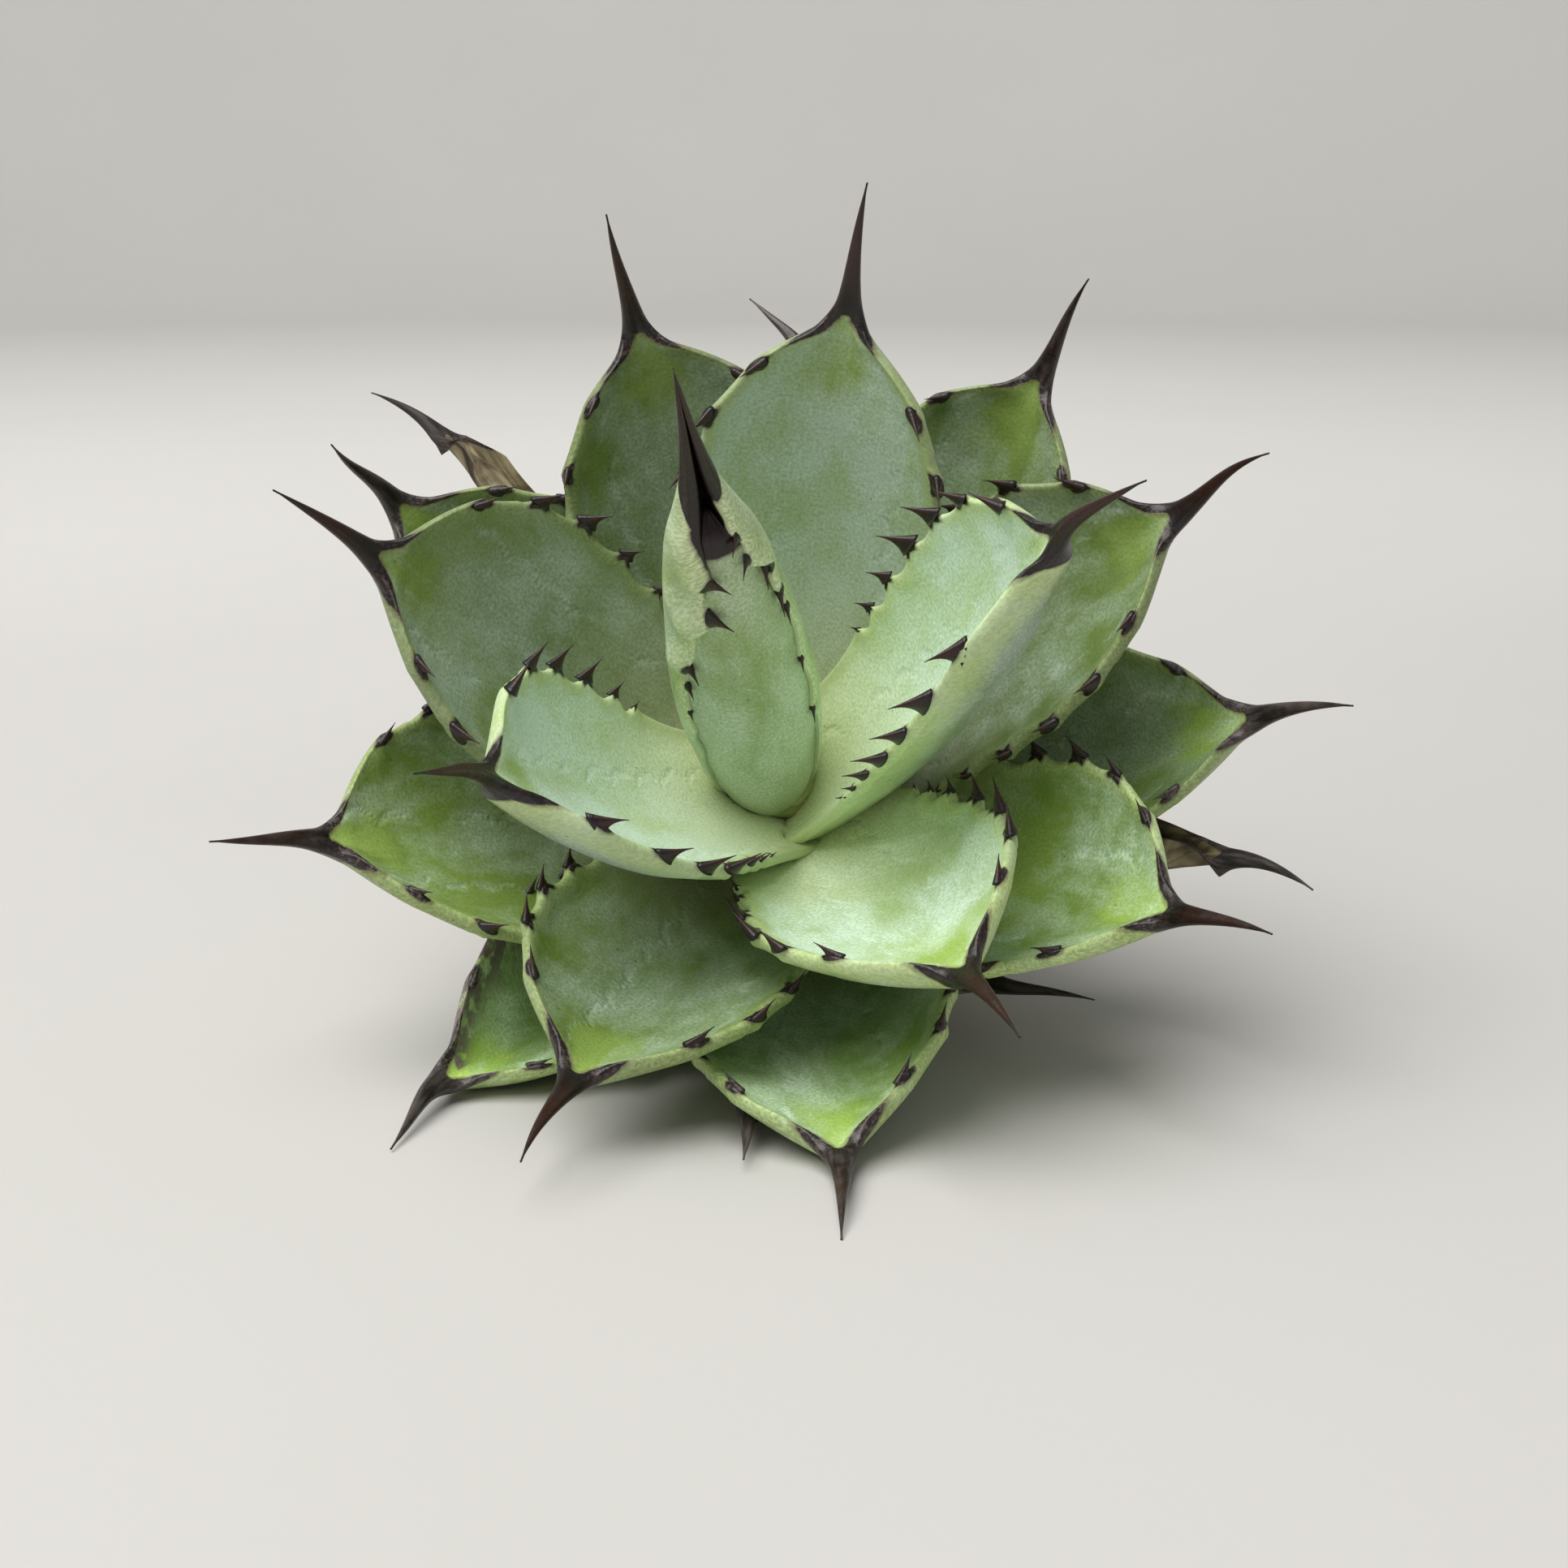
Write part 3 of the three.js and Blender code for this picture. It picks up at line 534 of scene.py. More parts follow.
    # Where the surface is horn: the spine, its two runs down the margins, and round each tooth.
    away = np.hypot(np.minimum(d, 0), half * s)
    run = HORN_RUN * (1 - 0.6 * face) * np.where(s * form["shift"][0] > 0, 1.1, 0.8)
    strip = HORN_RUN_WIDTH * np.clip(1 - away / run, -2, 1)
    horn = np.maximum(strip - inside, d - SKIN_TONGUE * (1 - s * s) * (face == 0))
    horn = np.maximum(horn, TOOTH_FOOT[0] * (1 - nearest))
    scar = smooth(0.008, 0.002, inside) * (s < 0) * smooth(0.3, 0.4, t) * (v == 0) * (rank == SCARRED_LEAF)
    rim = np.where(face == 0, smooth(RIM_WIDTH, 0.0, inside), smooth(RIM_WIDTH_BELOW, 0.0, inside))
    return tube_part(
        points, (x, y, LEAF_ZONE * rank - below),
        horn=horn_share(horn),
        tip=v,
        rim=rim * (1 - v),
        base=smooth(0.036, -0.006, y),
        apex=smooth(-0.016, -0.001, d) * smooth(0.9, 0.1, np.abs(s)) * (1 - v),
        # outer marks the outer face, which the skin darkens as painted shade.
        outer=face > 0.5,
        print=print_distance(form, x, y),
        age=rank / OLDEST,
        scar=scar,
        youth=smooth(6.0, 0.5, rank),
        tone=PAINTED_LIGHT[rank],
    )


def print_distance(form, x, y):
    """Distance to the marks that the margin of a neighbour pressed into the blade in the bud."""
    marks = []
    draw = np.random.default_rng(300 + form["rank"])
    for side in (-1, 1):
        shift, slope, phase = draw.uniform(0.1, 0.5), draw.uniform(-0.1, 0.25), draw.uniform(0, 1)
        middle = side * form["width"] / 2 * (shift + slope * y / form["length"])
        lobe = np.abs(np.sin(math.pi * (y / TOOTH_SPACING + phase))) ** 0.7 * PRINT_LOBE
        marks.append(np.abs(x - middle - side * lobe))
    return np.clip(np.minimum(*marks) / PRINT_FADE, 0, 1)


TOOTH_RINGS, TOOTH_SIDES = 10, 12


def horn_tooth(root, outward, edge, height, rank, hook=0.42, zone=0.0):
    """A hooked tooth on a long low base that runs along the margin. Its root is sunk in the flesh."""
    sunk, point_radius = 0.18, 0.00004
    across = unit(np.cross(outward, edge))
    s = np.linspace(0, 1, TOOTH_RINGS)[:, None, None]
    turn_round = np.linspace(0, 2 * math.pi, TOOTH_SIDES, endpoint=False)[None, :, None]
    long = height * (0.48 * (1 - s) ** 2.4 + 0.12 * (1 - s)) + point_radius
    broad = height * (0.19 * (1 - s) ** 2 + 0.08 * (1 - s)) + point_radius
    way = outward * (height * ((1 + sunk) * s - sunk)) - edge * (height * hook * s ** 1.9)
    grid = root + way + edge * long * np.cos(turn_round) + across * broad * np.sin(turn_round)
    s = s[..., 0]
    return tube_part(grid, (height * 3 * s, s * 0.01, zone), horn=1.0, tip=s * 0.9 + 0.1, age=rank / OLDEST)


def solids_tree(names):
    """The solids of some nodes together, to find what would stand inside them."""
    points, faces = [], []
    for name in names:
        start, node = len(points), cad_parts[name]
        points += [node.matrix_world @ corner.co for corner in node.data.vertices]
        faces += [[start + k for k in polygon.vertices] for polygon in node.data.polygons]
    return BVHTree.FromPolygons(points, faces)


def is_inside(tree, point):
    """Whether a point is inside a solid: a line out of it meets an odd number of faces."""
    for way in (Vector((0.31, 0.17, 0.93)).normalized(), Vector((-0.42, 0.73, 0.54)).normalized()):
        crossings, spot = 0, tree.ray_cast(Vector(point), way)[0]
        while spot is not None:
            crossings += 1
            spot = tree.ray_cast(spot + way * 0.000001, way)[0]
        if crossings % 2 == 0:
            return False
    return True


def settle(points, ways, tree):
    """Moves points that are inside other solids, each along its own way, where that soon clears them."""
    step, most = 0.00015, 20
    for point, way in zip(points.reshape(-1, 3), ways.reshape(-1, 3)):
        moves = 0
        while moves <= most and is_inside(tree, point + way * step * moves):
            moves += 1
        if 0 < moves <= most:
            point += way * step * (moves + 1)


def keep_below(points, ways, tree):
    """Brings points that have come up through other solids back under them, each along its own way."""
    reach, clear = 0.009, 0.0003
    for point, way in zip(points.reshape(-1, 3), ways.reshape(-1, 3)):
        start = point + way * reach
        spot = tree.ray_cast(Vector(start), Vector(-way), reach)[0]
        if spot is not None and not is_inside(tree, start):
            point[:] = np.array(spot) + way * clear


def leaf_teeth(form, node):
    """The teeth of both margins, without those that would stand in another leaf."""
    if form["dry"]:
        return []
    tree = solids_tree(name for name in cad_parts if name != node)
    length, half_width, rank = form["length"], form["width"] / 2, form["rank"]
    teeth = []
    for side in (-1, 1):
        for d in tooth_places(form, side):
            t = 1 + d / length
            place, tangent, across, normal = (each[0] for each in blade_frame(form, np.array([t])))
            cup = math.radians(form["cup"]) * min(0.6 + t, 1)
            margin = across * side * math.cos(cup) + normal * math.sin(cup)
            slope = (outline(t + 0.02) - outline(t - 0.02)) / 0.04
            edge = tangent + margin * slope * half_width / length
            outward = unit(margin * 0.3 + normal * 0.95)
            edge = unit(edge - outward * (edge @ outward))
            height = TOOTH_HEIGHT * mix(1.1, 0.78, min(rank / 6, 1)) * tooth_size(t)
            height *= 1 + 0.12 * math.sin(37 * t + rank)
            root = place + margin * half_width * outline(t) + normal * 0.0002
            tip = root + outward * height - edge * height * 0.5
            if not is_inside(tree, tip) and not is_inside(tree, root + outward * 0.001):
                teeth.append(horn_tooth(root, outward, edge, height, rank, zone=t + side))
    return teeth


# Bud

def bud_radius(height):
    """Radius of the bud's cone, on a smooth curve through its outline."""
    places, radii = np.array(BUD_OUTLINE).T
    slopes = np.gradient(radii, places)
    k = np.clip(np.searchsorted(places, height) - 1, 0, len(places) - 2)
    step = places[k + 1] - places[k]
    t = np.clip((height - places[k]) / step, 0, 1)
    return ((2 * t ** 3 - 3 * t ** 2 + 1) * radii[k] + (t ** 3 - 2 * t ** 2 + t) * step * slopes[k]
            + (3 * t ** 2 - 2 * t ** 3) * radii[k + 1] + (t ** 3 - t ** 2) * step * slopes[k + 1])


# Dents and swellings of the outer bud leaf: height, azimuth, how far out, and their size.
WRAP_RELIEF = [
    (0.0455, 238, -0.0011, 0.0022), (0.0418, 238, 0.0015, 0.0019), (0.0376, 222, -0.0009, 0.0022),
    (0.0495, 250, 0.0012, 0.0018), (0.0530, 235, 0.0008, 0.0024), (0.0475, -14, 0.0009, 0.0020),
    (0.0420, -4, -0.0006, 0.0024), (0.0335, 216, 0.0011, 0.0020), (0.0440, -24, 0.0012, 0.0016),
    (0.0405, -18, 0.0009, 0.0014), (0.0300, 212, -0.0005, 0.0018), (0.0440, 218, 0.0007, 0.0022),
]


def both_faces(outer, inner=None):
    """Values round a rolled sheet: from left to right over its outer face, and back over its inner one."""
    return np.concatenate([outer[:, ::-1], outer if inner is None else inner], axis=1)


def sheet_thickness(from_edge):
    """Thickness of the outer bud leaf, which thins towards its margins."""
    return mix(WRAP_EDGE_THICKNESS, WRAP_THICKNESS, smooth(0, 0.004, from_edge))


def wrap_surface():
    """The outer bud leaf: a sheet round the cone, whose margins close above into a grooved spine."""
    top = BUD_OUTLINE[-1][0]
    heights = np.concatenate([np.arange(-0.005, top, 0.00055), [top]])[:, None]
    outer = bud_radius(heights)
    left, right = eased(LEFT_MARGIN, heights), eased(RIGHT_MARGIN, heights)
    s = np.linspace(0, 1, 81)[None, :]
    s = 0.6 * s + 0.4 * (1 - np.cos(math.pi * s)) / 2
    azimuth = mix(right, left, s)
    from_edge = np.radians((left - right) * np.minimum(s, 1 - s)) * outer
    relief = sum(
        out * bump(np.hypot(heights - height, np.radians(azimuth - at) * outer), size)
        for height, at, out, size in WRAP_RELIEF
    )
    relief = relief + 0.00012 * waves(azimuth * 0.00015, heights, 7, 0.008)
    in_spine = smooth(CHANNEL_START - 0.002, CHANNEL_START + 0.004, heights)
    thick = mix(np.minimum(sheet_thickness(from_edge), outer * 0.75), outer * 0.93, in_spine)
    face_radius = outer + relief * (1 - in_spine) - 0.00025 * bump(from_edge, 0.0006)
    inner_radius = np.maximum(face_radius - thick, 0.00003)
    grid = both_faces(*(place_in(bud, heights, azimuth, each) for each in (face_radius, inner_radius)))
    x, to_left, to_edge = both_faces(np.radians(azimuth) * outer), both_faces(s), both_faces(from_edge)
    within = both_faces(np.zeros_like(azimuth), np.ones_like(azimuth))

    # Where it is horn: the spine, from lower down near the margins, a strip down the left one, and the teeth.
    climb = 0.0086 * smooth(0, 0.0055, to_edge) + 0.003 * smooth(0.5, 0.3, to_left)
    horn = heights - CHANNEL_START - np.where(within > 0, -0.001, climb)
    low_edge = 0.0009 * smooth(0.0505, 0.056, heights) - to_edge
    horn = np.maximum(horn, np.where((heights > 0.045) & (to_left > 0.5), low_edge, -1))
    for margin, places in ((left, LEFT_TEETH), (right, RIGHT_TEETH)):
        for height, size in places:
            way = np.radians(azimuth - margin) * outer
            spot = np.hypot((heights - height) / BUD_TOOTH_FOOT[0], way / BUD_TOOTH_FOOT[1]) / size
            horn = np.maximum(horn, 0.0012 * (1 - both_faces(spot)))
    return tube_part(
        grid, (x, heights, WRAP_ZONE + 0.04 * within),
        horn=horn_share(horn),
        tip=0.25 + 0.25 * smooth(CHANNEL_START, top, heights),
        rim=smooth(0.0035, 0.0, to_edge) * (heights > 0.02) + 0.35 * smooth(0.03, 0.05, heights),
        base=smooth(0.012, -0.004, heights),
        print=1.0,
        tone=WRAP_PAINTED_LIGHT,
    )


def wrap_teeth():
    """Hooked teeth on the outer bud leaf's margins. They lie close over the inner leaf's face."""
    teeth = []
    for margin, places, side in ((LEFT_MARGIN, LEFT_TEETH, 1), (RIGHT_MARGIN, RIGHT_TEETH, -1)):
        for height, size in places:
            azimuth = eased(margin, height)
            root = place_in(bud, height, azimuth, bud_radius(height) - 0.0003)
            outward = unit(radial(bud, azimuth + 90) * side * 0.85 + radial(bud, azimuth) * 0.4)
            edge = unit(bud["axis"] - outward * (bud["axis"] @ outward))
            hook = 0.2 if side > 0 else 0.8
            tall = BUD_TOOTH_HEIGHT * size
            teeth.append(horn_tooth(root, outward, edge, tall, 0, hook=hook, zone=height * 90))
    return teeth


def inner_surface():
    """The inner bud leaf, rolled into a closed cone whose front shows between the outer leaf's margins."""
    heights = np.arange(-0.006, INNER_TOP, 0.00045)[:, None]
    azimuth = np.linspace(0, 360, 121)[:-1][None, :]
    outer = bud_radius(heights)
    left, right = eased(LEFT_MARGIN, heights), eased(RIGHT_MARGIN, heights) + 360
    beyond = np.maximum(left - azimuth, azimuth - right)
    beyond = np.where(azimuth < 90, azimuth + 360 - right, beyond)
    covered = sheet_thickness(np.radians(np.maximum(beyond, 0)) * outer) + 0.0001
    inset = np.where(beyond > 0, covered, INNER_INSET)
    inset = mix(inset, covered, smooth(-4, 3, beyond))
    close = smooth(INNER_TOP - 0.003, INNER_TOP, heights)
    radius = np.maximum(outer - inset, 0.0004) * (1 - 0.75 * close ** 2)
    front = np.radians(azimuth - 285) * outer
    marks = inner_marks(heights, front)
    return tube_part(
        place_in(bud, heights, azimuth, radius + INNER_MARK * marks)[:, ::-1],
        (front[:, ::-1], heights, INNER_ZONE),
        horn=horn_share(heights - INNER_TOP + 0.0042),
        tip=0.25,
        rim=0.25 * smooth(0.02, 0.05, heights),
        base=smooth(0.008, -0.006, heights),
        print=1 - marks[:, ::-1],
        tone=INNER_PAINTED_LIGHT,
    )


# Curved marks on the inner bud leaf's face: height, distance across its front, radius, and their arc.
INNER_MARKS = [
    (0.0340, -0.004, 0.0030, -60, 80), (0.0285, -0.001, 0.0022, -20, 140), (0.0262, 0.0012, 0.0028, -30, 110),
    (0.0240, -0.001, 0.0030, -160, -60), (0.0440, 0.0, 0.0034, 100, 220), (0.0215, 0.003, 0.0026, -40, 80),
]


def inner_marks(heights, front):
    """Low thin ridges that the outer leaf's teeth and lobes pressed into the inner one."""
    total = np.zeros(np.broadcast(heights, front).shape)
    for height, across, radius, first, last in INNER_MARKS:
        up, right = heights - height, front - across
        angle = np.degrees(np.arctan2(up, right))
        inside = smooth(first - 15, first + 15, angle) * smooth(last + 15, last - 15, angle)
        total = np.maximum(total, bump(np.hypot(up, right) - radius, 0.0007) * inside)
    return total


# Stem

def stem_radius(height):
    steady = SEAT_RADIUS - STEM_CLEARANCE
    return np.where(height > 0, steady - height, steady - SEAT_GROWTH * height / NODE_SPACING)


def stem_surface():
    """The stem with its ringed leaf scars, its corky cut end and its flat spot on the table."""
    cut_rings, step = 9, 0.0004
    heights = np.concatenate([[STEM_END + 0.0003] * cut_rings, np.arange(STEM_END + step, STEM_TOP, step)])
    shrink = np.concatenate([np.linspace(0.02, 0.97, cut_rings), np.ones(len(heights) - cut_rings)])
    heights, shrink = heights[:, None], shrink[:, None]
    on_cut = shrink < 1
    azimuth = np.linspace(0, 360, 97)[:-1][None, :]
    scars = 0.0005 * np.abs(np.sin(math.pi * (heights / 0.0021 + azimuth / 360 * 3)))
    rough = 0.0003 * waves(azimuth * 0.00012, heights, 3, 0.0035)
    radius = (stem_radius(heights) - 0.0002 + scars + rough) * shrink
    turn = np.radians(azimuth)
    ragged = 0.0004 * waves(radius * np.cos(turn), radius * np.sin(turn), 5, 0.003) * on_cut
    sag = 0.0009 * (1 - shrink ** 2) + ragged
    grid = place_in(rosette, heights + sag, azimuth, radius)
    grid[..., 2] = np.maximum(grid[..., 2], 0.0)
    crown = smooth(-0.004, 0.0, heights) * (shrink == 1)
    place = (turn * radius, heights + radius * on_cut, STEM_ZONE)
    return tube_part(grid, place, scar=on_cut, youth=crown)


def root_stub(k):
    """A trimmed root: a bent wrinkled stub with a ragged end."""
    sunk = 0.003
    azimuth = mix(-25, 205, k / (ROOT_STUBS - 1))
    length = ROOT_LENGTHS[k % len(ROOT_LENGTHS)] + sunk
    start = place_in(rosette, ROOT_HEIGHT, azimuth, stem_radius(ROOT_HEIGHT) - sunk)
    direction = unit(radial(rosette, azimuth) * 0.8 - rosette["axis"] * 0.5)
    root = frame_about(start, direction, radial(rosette, azimuth + 90))
    reach = np.linspace(0, length, 26)[:, None]
    around = np.linspace(0, 360, 17)[:-1][None, :]
    share = reach / length
    radius = ROOT_RADIUS * (1 - 0.4 * share) * (1 + 0.13 * waves(around * 0.00002, reach, 60 + k, 0.0016))
    radius = radius * (1 - 0.6 * smooth(0.93, 1.0, share))
    bend = 0.0006 * np.sin(3 * share + k)[..., None] * root["east"]
    place = (np.radians(around) * radius, reach, ROOT_ZONE + k)
    return tube_part(place_in(root, reach, around, radius) + bend, place)


# Shader nodes

# Colours that the leaves share, as six hex digits. Each leaf material adds its own, in this order.
LEAF_COLOURS = ("Flesh", "Fresh Green", "Bloom", "Cream", "Edge")
YOUNG_FLESH, YOUNG_BLOOM = "aec48c", "bdd2c2"
SPECK, HALO, CORK_DARK, CORK_PALE = "46512f", "5f4a3a", "4c3d42", "9c8f8c"
HORN_FOOT, HORN_MIDDLE, HORN_TIP, HORN_STREAK = "140b0e", "2c0f09", "140c0c", "4a2419"
OLD_HORN_DARK, OLD_HORN_PALE, HORN_SCURF = "1e1a19", "4f4846", "77675f"
# Values at a leaf's points that its skin takes.
SKIN_VALUES = ("Rim", "Base", "Apex", "Outer", "Print", "Youth", "Tone")
SOCKETS = {"vector": "NodeSocketVector", "colour": "NodeSocketColor", "value": "NodeSocketFloat"}
FINISH = {"Colour": "colour", "Roughness": "value", "Height": "value"}


def srgb(code):
    """A colour given as six hex digits, as the linear values that shaders work in."""
    parts = [int(code[k:k + 2], 16) / 255 for k in (0, 2, 4)]
    return (*[c / 12.92 if c < 0.04045 else ((c + 0.055) / 1.055) ** 2.4 for c in parts], 1.0)


def add(tree, kind, inputs=(), **settings):
    """A node with its settings, and with its inputs set to values or joined to sockets."""
    node = tree.nodes.new(kind)
    for name, value in settings.items():
        setattr(node, name, value)
    for name, value in dict(inputs).items():
        if isinstance(value, bpy.types.NodeSocket):
            tree.links.new(value, node.inputs[name])
        else:
            node.inputs[name].default_value = srgb(value) if isinstance(value, str) else value
    return node


def calc(operation, *values, clamp=False):
    """A sum on sockets and numbers, in the tree that the sockets are in."""
    tree = next(value.id_data for value in values if isinstance(value, bpy.types.NodeSocket))
    return add(tree, "ShaderNodeMath", enumerate(values), operation=operation, use_clamp=clamp).outputs[0]


def times(a, b):
    return calc("MULTIPLY", a, b)


def plus_share(total, value, share):
    """A total with a share of another value added."""
    return calc("MULTIPLY_ADD", value, share, total)


def sway(value, texture, amount):
    """A value that a noise takes up and down by an amount."""
    return plus_share(value, calc("SUBTRACT", texture, 0.5), amount)


def blend(factor, a, b):
    """Colour a where the factor is nought and b where it is 1."""
    settings = dict(data_type="RGBA", clamp_factor=True)
    return add(factor.id_data, "ShaderNodeMix", {0: factor, 6: a, 7: b}, **settings).outputs[2]


def between(factor, a, b):
    """Value a where the factor is nought and b where it is 1."""
    return add(factor.id_data, "ShaderNodeMix", {0: factor, 2: a, 3: b}).outputs[0]


def remap(value, low, high, to_low=0.0, to_high=1.0):
    """An even ease from to_low to to_high as a value goes from low to high."""
    limits = {"Value": value, "From Min": low, "From Max": high, "To Min": to_low, "To Max": to_high}
    return add(value.id_data, "ShaderNodeMapRange", limits, interpolation_type="SMOOTHSTEP").outputs[0]


def noise(place, per_metre, detail=3.0, roughness=0.55, stretch=(1, 1, 1), distortion=0.0):
    """Noise with about that many features to the metre, drawn out along an axis by a stretch under 1."""
    tree = place.id_data
    drawn = add(tree, "ShaderNodeVectorMath", {0: place, 1: stretch}, operation="MULTIPLY").outputs[0]
    settings = {"Vector": drawn, "Scale": per_metre, "Detail": detail, "Roughness": roughness,
                "Distortion": distortion}
    return add(tree, "ShaderNodeTexNoise", settings).outputs["Fac"]


def attribute(tree, name, output="Fac"):
    return add(tree, "ShaderNodeAttribute", attribute_name=name).outputs[output]


def new_group(name, **labels):
    """An empty node group for a finish, with inputs of each kind. Gives back the group and its inputs."""
    group = bpy.data.node_groups.new(name, "ShaderNodeTree")
    for kind in labels:
        for label in labels[kind]:
            group.interface.new_socket(label, in_out="INPUT", socket_type=SOCKETS[kind])
    for label, kind in FINISH.items():
        group.interface.new_socket(label, in_out="OUTPUT", socket_type=SOCKETS[kind])
    return group, group.nodes.new("NodeGroupInput").outputs


def finish_group(group, *results):
    """Joins a group's colour, roughness and height to its outputs."""
    add(group, "NodeGroupOutput", zip(FINISH, results))
    return group


def leaf_skin_group():
    """Living leaf skin: flesh that shows green through a patchy powdery bloom, scaled per leaf by painted
    light and shade, with painted shade on the outer face.
    """
    group, given = new_group(
        "leaf skin", vector=["Place"], colour=LEAF_COLOURS, value=["Bloom Level", *SKIN_VALUES],
    )
    place, rim, base, youth = (given[label] for label in ("Place", "Rim", "Base", "Youth"))
    clouds = noise(place, per_metre=80, stretch=(1, 0.65, 1), distortion=0.6)
    patches = noise(place, per_metre=240, roughness=0.62, stretch=(1, 0.7, 1))
    streaks = between(rim, noise(place, per_metre=800, detail=2, stretch=(1, 0.09, 1)), 0.5)
    grain = noise(place, per_metre=2300, detail=2, roughness=0.6)

    # Flesh: fresher green in places and in a V below the spine, and pale in the youngest leaves.
    fresh = remap(noise(place, per_metre=50, detail=0), 0.4, 0.66)
    flesh = blend(times(fresh, 0.55), given["Flesh"], given["Fresh Green"])
    flesh = blend(times(youth, 0.8), flesh, YOUNG_FLESH)
    vee = remap(sway(sway(given["Apex"], clouds, 1.2), streaks, 0.7), 0.25, 0.8)
    flesh = blend(vee, flesh, given["Fresh Green"])

    # Bloom: thicker on young skin, at the base and along the imprints, and thin at the V and the rim.
    imprint = times(remap(given["Print"], 0.26, 0.0), remap(patches, 0.4, 0.56))
    bloom = plus_share(given["Bloom Level"], remap(clouds, 0.34, 0.66), 0.74)
    for value, share in ((youth, 0.42), (base, 0.3), (vee, -0.5), (rim, -0.35), (imprint, 0.4)):
        bloom = plus_share(bloom, value, share)
    bloom = sway(sway(bloom, patches, 1.3), streaks, 0.35)
    bloom = calc("MULTIPLY", bloom, remap(grain, 0.28, 0.72, 0.72, 1.16), clamp=True)
    powder = blend(times(youth, 0.85), given["Bloom"], YOUNG_BLOOM)
    colour = blend(bloom, flesh, powder)

    colour = blend(times(base, remap(patches, 0.3, 0.7, 0.75, 1.0)), colour, given["Cream"])
    colour = blend(times(rim, remap(grain, 0.3, 0.7, 0.4, 0.8)), colour, given["Edge"])
    # Painted shade: the outer face, away from its pale rim, is darkened, as it lies in shadow.
    painted_underside_shade = times(given["Outer"], calc("SUBTRACT", 1.0, rim))
    shade = plus_share(remap(grain, 0.28, 0.72, 0.86, 1.1), painted_underside_shade, -0.42)
    # Each leaf's colour is scaled by its tone, which is painted light and shade.
    shaded = {0: colour, 3: times(given["Tone"], shade)}
    colour = add(group, "ShaderNodeVectorMath", shaded, operation="SCALE").outputs[0]

    cells = add(group, "ShaderNodeTexVoronoi", {"Vector": place, "Scale": 330.0, "Randomness": 1.0}).outputs
    chance = add(group, "ShaderNodeSeparateColor", {0: cells["Color"]}).outputs[0]
    speck = times(remap(cells["Distance"], 0.075, 0.03), calc("GREATER_THAN", chance, 0.72))
    colour = blend(times(speck, 0.55), colour, SPECK)

    relief = times(grain, 0.6)
    for value, share in ((streaks, 0.6), (patches, 3.0), (imprint, 2.2), (speck, -0.4)):
        relief = plus_share(relief, value, share)
    return finish_group(group, colour, remap(bloom, 0.0, 1.0, 0.42, 0.64), relief)


def horn_group():
    """Horn of spines and teeth: nearly black, red-brown where it is young and grey where it is old."""
    group, given = new_group("horn", vector=["Place"], value=["Tip", "Age"])
    place, tip, age = (given[label] for label in ("Place", "Tip", "Age"))
    streaks = noise(place, per_metre=1500, stretch=(1, 0.12, 1))
    blotches = noise(place, per_metre=420, roughness=0.65)
    scurf = noise(place, per_metre=1900, detail=2, roughness=0.7)
    young = blend(remap(tip, 0.1, 0.6), HORN_FOOT, HORN_MIDDLE)
    young = blend(remap(tip, 0.8, 1.0), young, HORN_TIP)
    old = blend(remap(streaks, 0.35, 0.65), OLD_HORN_DARK, OLD_HORN_PALE)
    colour = blend(remap(sway(age, blotches, 0.8), 0.34, 0.85), young, old)
    colour = blend(times(remap(streaks, 0.5, 0.75), 0.3), colour, HORN_STREAK)
    at_foot = times(remap(tip, 0.22, 0.0), remap(scurf, 0.5, 0.62))
    colour = blend(times(at_foot, remap(age, 0.0, 0.6, 0.1, 0.6)), colour, HORN_SCURF)
    relief = times(calc("ADD", streaks, scurf), 0.5)
    return finish_group(group, colour, remap(blotches, 0.3, 0.7, 0.26, 0.46), relief)


def use_group(tree, group, inputs):
    """A group placed in a material, with its inputs set or joined."""
    return add(tree, "ShaderNodeGroup", inputs, node_tree=group).outputs


def new_material(name):
    """An empty material with a Principled shader. Gives back the material, its tree and the shader."""
    material = bpy.data.materials.new(name)
    material.use_nodes = True
    tree = material.node_tree
    tree.nodes.clear()
    shader = add(tree, "ShaderNodeBsdfPrincipled")
    add(tree, "ShaderNodeOutputMaterial", {"Surface": shader.outputs[0]})
    return material, tree, shader


def finish_material(shader, colour, rough, relief, strength, distance):
    """Joins a colour, a roughness and a relief to a shader, the relief through a bump that deep."""
    tree = shader.id_data
    bumped = add(tree, "ShaderNodeBump", {"Strength": strength, "Distance": distance, "Height": relief})
    for name, socket in (("Base Color", colour), ("Roughness", rough), ("Normal", bumped.outputs[0])):
        tree.links.new(socket, shader.inputs[name])


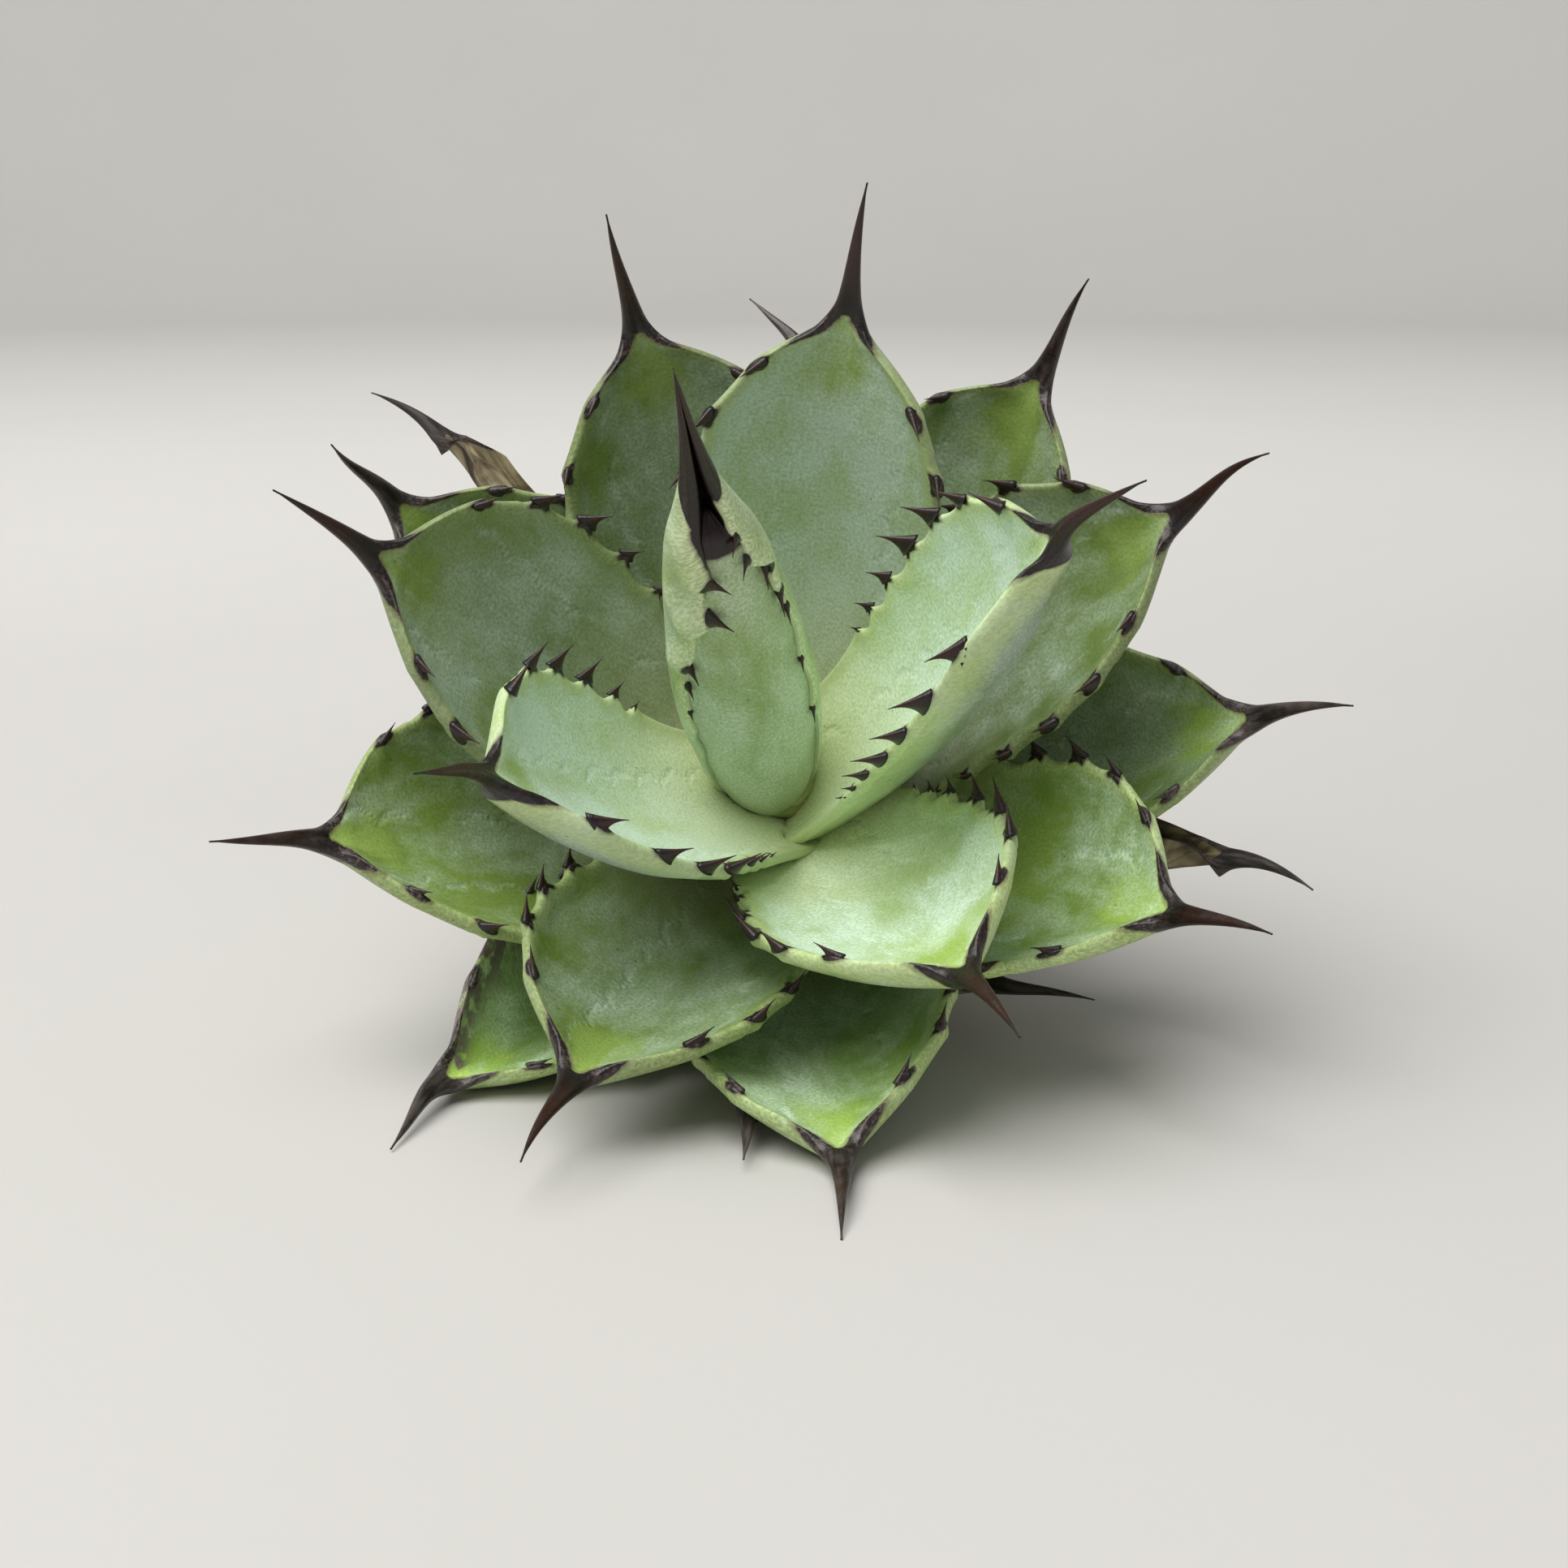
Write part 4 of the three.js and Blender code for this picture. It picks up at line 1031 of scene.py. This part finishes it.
def leaf_material(name, bloom_level, *colours):
    """Leaf skin that turns to horn at the spine and teeth, and to cork where it is scarred."""
    material, tree, shader = new_material(name)
    place = attribute(tree, "place", "Vector")
    values = {label: attribute(tree, label.lower()) for label in SKIN_VALUES}
    inputs = {"Place": place, "Bloom Level": bloom_level, **values, **dict(zip(LEAF_COLOURS, colours))}
    skin = use_group(tree, leaf_skin, inputs)
    tip, age, horn_edge = (attribute(tree, name) for name in ("tip", "age", "horn"))
    spine = use_group(tree, horn, {"Place": place, "Tip": tip, "Age": age})
    horn_edge = sway(horn_edge, noise(place, per_metre=900), 0.25)
    is_horn = remap(horn_edge, 0.46, 0.56)
    halo = times(remap(horn_edge, 0.24, 0.5), 0.6)
    scarred = times(attribute(tree, "scar"), remap(noise(place, per_metre=380), 0.36, 0.5))
    cork = blend(noise(place, per_metre=1500), CORK_DARK, CORK_PALE)
    colour = blend(halo, skin["Colour"], HALO)
    colour = blend(scarred, colour, cork)
    colour = blend(is_horn, colour, spine["Colour"])
    rough = between(is_horn, skin["Roughness"], spine["Roughness"])
    relief = between(is_horn, times(skin["Height"], 0.6), spine["Height"])
    finish_material(shader, colour, rough, plus_share(relief, is_horn, 0.8), strength=0.42, distance=0.0003)
    tree.links.new(times(is_horn, 0.15), shader.inputs["Coat Weight"])
    shader.inputs["Coat Roughness"].default_value = 0.3
    shader.inputs["Specular IOR Level"].default_value = 0.4
    return material


def dry_material():
    """Shrivelled leaf: fibrous tan and dark brown, with a grey horny spine."""
    material, tree, shader = new_material("dried leaf")
    place = attribute(tree, "place", "Vector")
    fibres = noise(place, per_metre=1300, detail=4, stretch=(1, 0.08, 1))
    blotches = noise(place, per_metre=150, detail=4, roughness=0.6, stretch=(1, 0.35, 1), distortion=0.8)
    tan = blend(remap(fibres, 0.3, 0.7), "8b7d60", "cbbd98")
    dark = blend(remap(fibres, 0.3, 0.7), "241b15", "54432f")
    colour = blend(remap(blotches, 0.40, 0.64), tan, dark)
    spine = use_group(tree, horn, {"Place": place, "Tip": attribute(tree, "tip"), "Age": 1.0})
    colour = blend(remap(attribute(tree, "horn"), 0.46, 0.56), colour, spine["Colour"])
    rough = remap(fibres, 0.2, 0.8, 0.9, 0.7)
    finish_material(shader, colour, rough, plus_share(fibres, blotches, 2.0), strength=0.6, distance=0.0004)
    return material


def stem_material():
    """Woody stem: corky brown bark with fibres, a paler dry cut, and a green crown."""
    material, tree, shader = new_material("stem bark")
    place = attribute(tree, "place", "Vector")
    fibres = noise(place, per_metre=1500, detail=4, stretch=(1, 0.15, 1))
    patches = noise(place, per_metre=240, detail=4, roughness=0.65)
    bark = blend(remap(patches, 0.35, 0.65), "5a4330", "94765a")
    bark = blend(times(remap(fibres, 0.5, 0.7), 0.6), bark, "3a2b20")
    cut = blend(remap(fibres, 0.35, 0.65), "8a6c4c", "b99b74")
    colour = blend(attribute(tree, "scar"), bark, cut)
    colour = blend(attribute(tree, "youth"), colour, "b4c07c")
    rough = remap(patches, 0.2, 0.8, 0.95, 0.78)
    finish_material(shader, colour, rough, plus_share(fibres, patches, 2.0), strength=0.7, distance=0.0005)
    return material


leaf_skin = leaf_skin_group()
horn = horn_group()
young_leaf = leaf_material("young leaf", 0.04, "728b42", "8ba650", "b2c8aa", "dae1b2", "adbe84")
old_leaf = leaf_material("old leaf", 0.16, "6e8848", "88a44e", "a6bb9c", "ccd39a", "a2b37c")
bud_leaf = leaf_material("bud leaf", 0.24, "8aa064", "87a055", "b9c8b0", "c6d0a4", "c8d2aa")
dried_leaf = dry_material()
stem_bark = stem_material()

# The plant's pieces

younger = ["bud_leaf_inner", "bud_leaf_outer"]
for rank, values in enumerate(LEAVES + DRY_LEAVES):
    form = leaf_form(values, rank)
    node = f"{'dry_leaf' if form['dry'] else 'leaf'}_{rank:02d}"
    slot, material = ("old_leaf", old_leaf) if rank >= FIRST_OLD_LEAF else ("young_leaf", young_leaf)
    if form["dry"]:
        slot, material = "dry_leaf", dried_leaf
    parts = [leaf_surface(form, younger), *leaf_teeth(form, node)]
    make_piece(f"agave_{node}", parts, material, node)
    younger.append(node)

make_piece("agave_bud_outer", [wrap_surface(), *wrap_teeth()], bud_leaf, "bud_leaf_outer")
make_piece("agave_bud_inner", [inner_surface()], bud_leaf, "bud_leaf_inner")
stem_parts = [stem_surface(), *[root_stub(k) for k in range(ROOT_STUBS)]]
make_piece("agave_stem", stem_parts, stem_bark, "stem")

# Floor, light and camera

CAMERA_PLACE = CENTRE + np.array([0.00065, -0.3096, 0.0774])
CAMERA_PITCH = 14.21  # below level
FIELD_OF_VIEW = 35.0
FLOOR_RADIUS = 1.4
COVE_RADIUS = 0.5
WALL_HEIGHT = 1.1


def make_floor():
    """A pale floor that turns up into a wall all round, far from the plant."""
    turn = np.radians(np.linspace(0, 90, 13))
    reach = [0.3, 0.8, *(FLOOR_RADIUS + COVE_RADIUS * np.sin(turn)), FLOOR_RADIUS + COVE_RADIUS]
    high = [0, 0, *(COVE_RADIUS * (1 - np.cos(turn))), WALL_HEIGHT]
    around = np.radians(np.linspace(0, 360, 97)[:-1])
    sides = len(around)
    points = [(r * math.cos(a), r * math.sin(a), z) for r, z in zip(reach, high) for a in around]
    faces = [(r + k, r + sides + k, r + sides + (k + 1) % sides, r + (k + 1) % sides)
             for r in range(0, (len(high) - 1) * sides, sides) for k in range(sides)]
    faces.append(tuple(range(sides)))
    material, tree, shader = new_material("floor paint")
    where = add(tree, "ShaderNodeTexCoord").outputs["Object"]
    paint = blend(noise(where, per_metre=6, detail=2), "c3c1bd", "c8c6c3")
    tree.links.new(paint, shader.inputs["Base Color"])
    shader.inputs["Roughness"].default_value = 0.75
    smooth_mesh("floor", points, faces, material)


def make_light(name, place, target, size, power, colour=(1, 1, 1)):
    """A soft round light that faces its target."""
    light = bpy.data.lights.new(name, "AREA")
    light.shape = "DISK"
    light.size = size
    light.energy = power
    light.color = colour
    lamp = new_object(name, light)
    lamp.location = place
    lamp.rotation_euler = (Vector(target) - Vector(place)).to_track_quat("-Z", "Y").to_euler()


def make_camera():
    lens = bpy.data.cameras.new("camera")
    lens.sensor_width = 36
    lens.lens = lens.sensor_width / 2 / math.tan(math.radians(FIELD_OF_VIEW / 2))
    lens.clip_start = 0.01
    lens.clip_end = 20
    camera = new_object("camera", lens)
    camera.location = CAMERA_PLACE
    camera.rotation_euler = (math.radians(90 - CAMERA_PITCH), 0, 0)
    bpy.context.scene.camera = camera


make_floor()
make_light("window", (-0.45, -0.25, 1.2), target=(0, 0, 0.04), size=1.5, power=25, colour=(1, 0.99, 0.97))
make_light("backdrop", (0, 0.5, 1.1), target=(0, 2.2, 0.5), size=1.2, power=9)
make_camera()

world = bpy.data.worlds.new("studio")
world.use_nodes = True
background = world.node_tree.nodes["Background"]
background.inputs["Color"].default_value = srgb("e6e8ea")
background.inputs["Strength"].default_value = 0.34
bpy.context.scene.world = world
bpy.context.scene.view_settings.view_transform = "Standard"
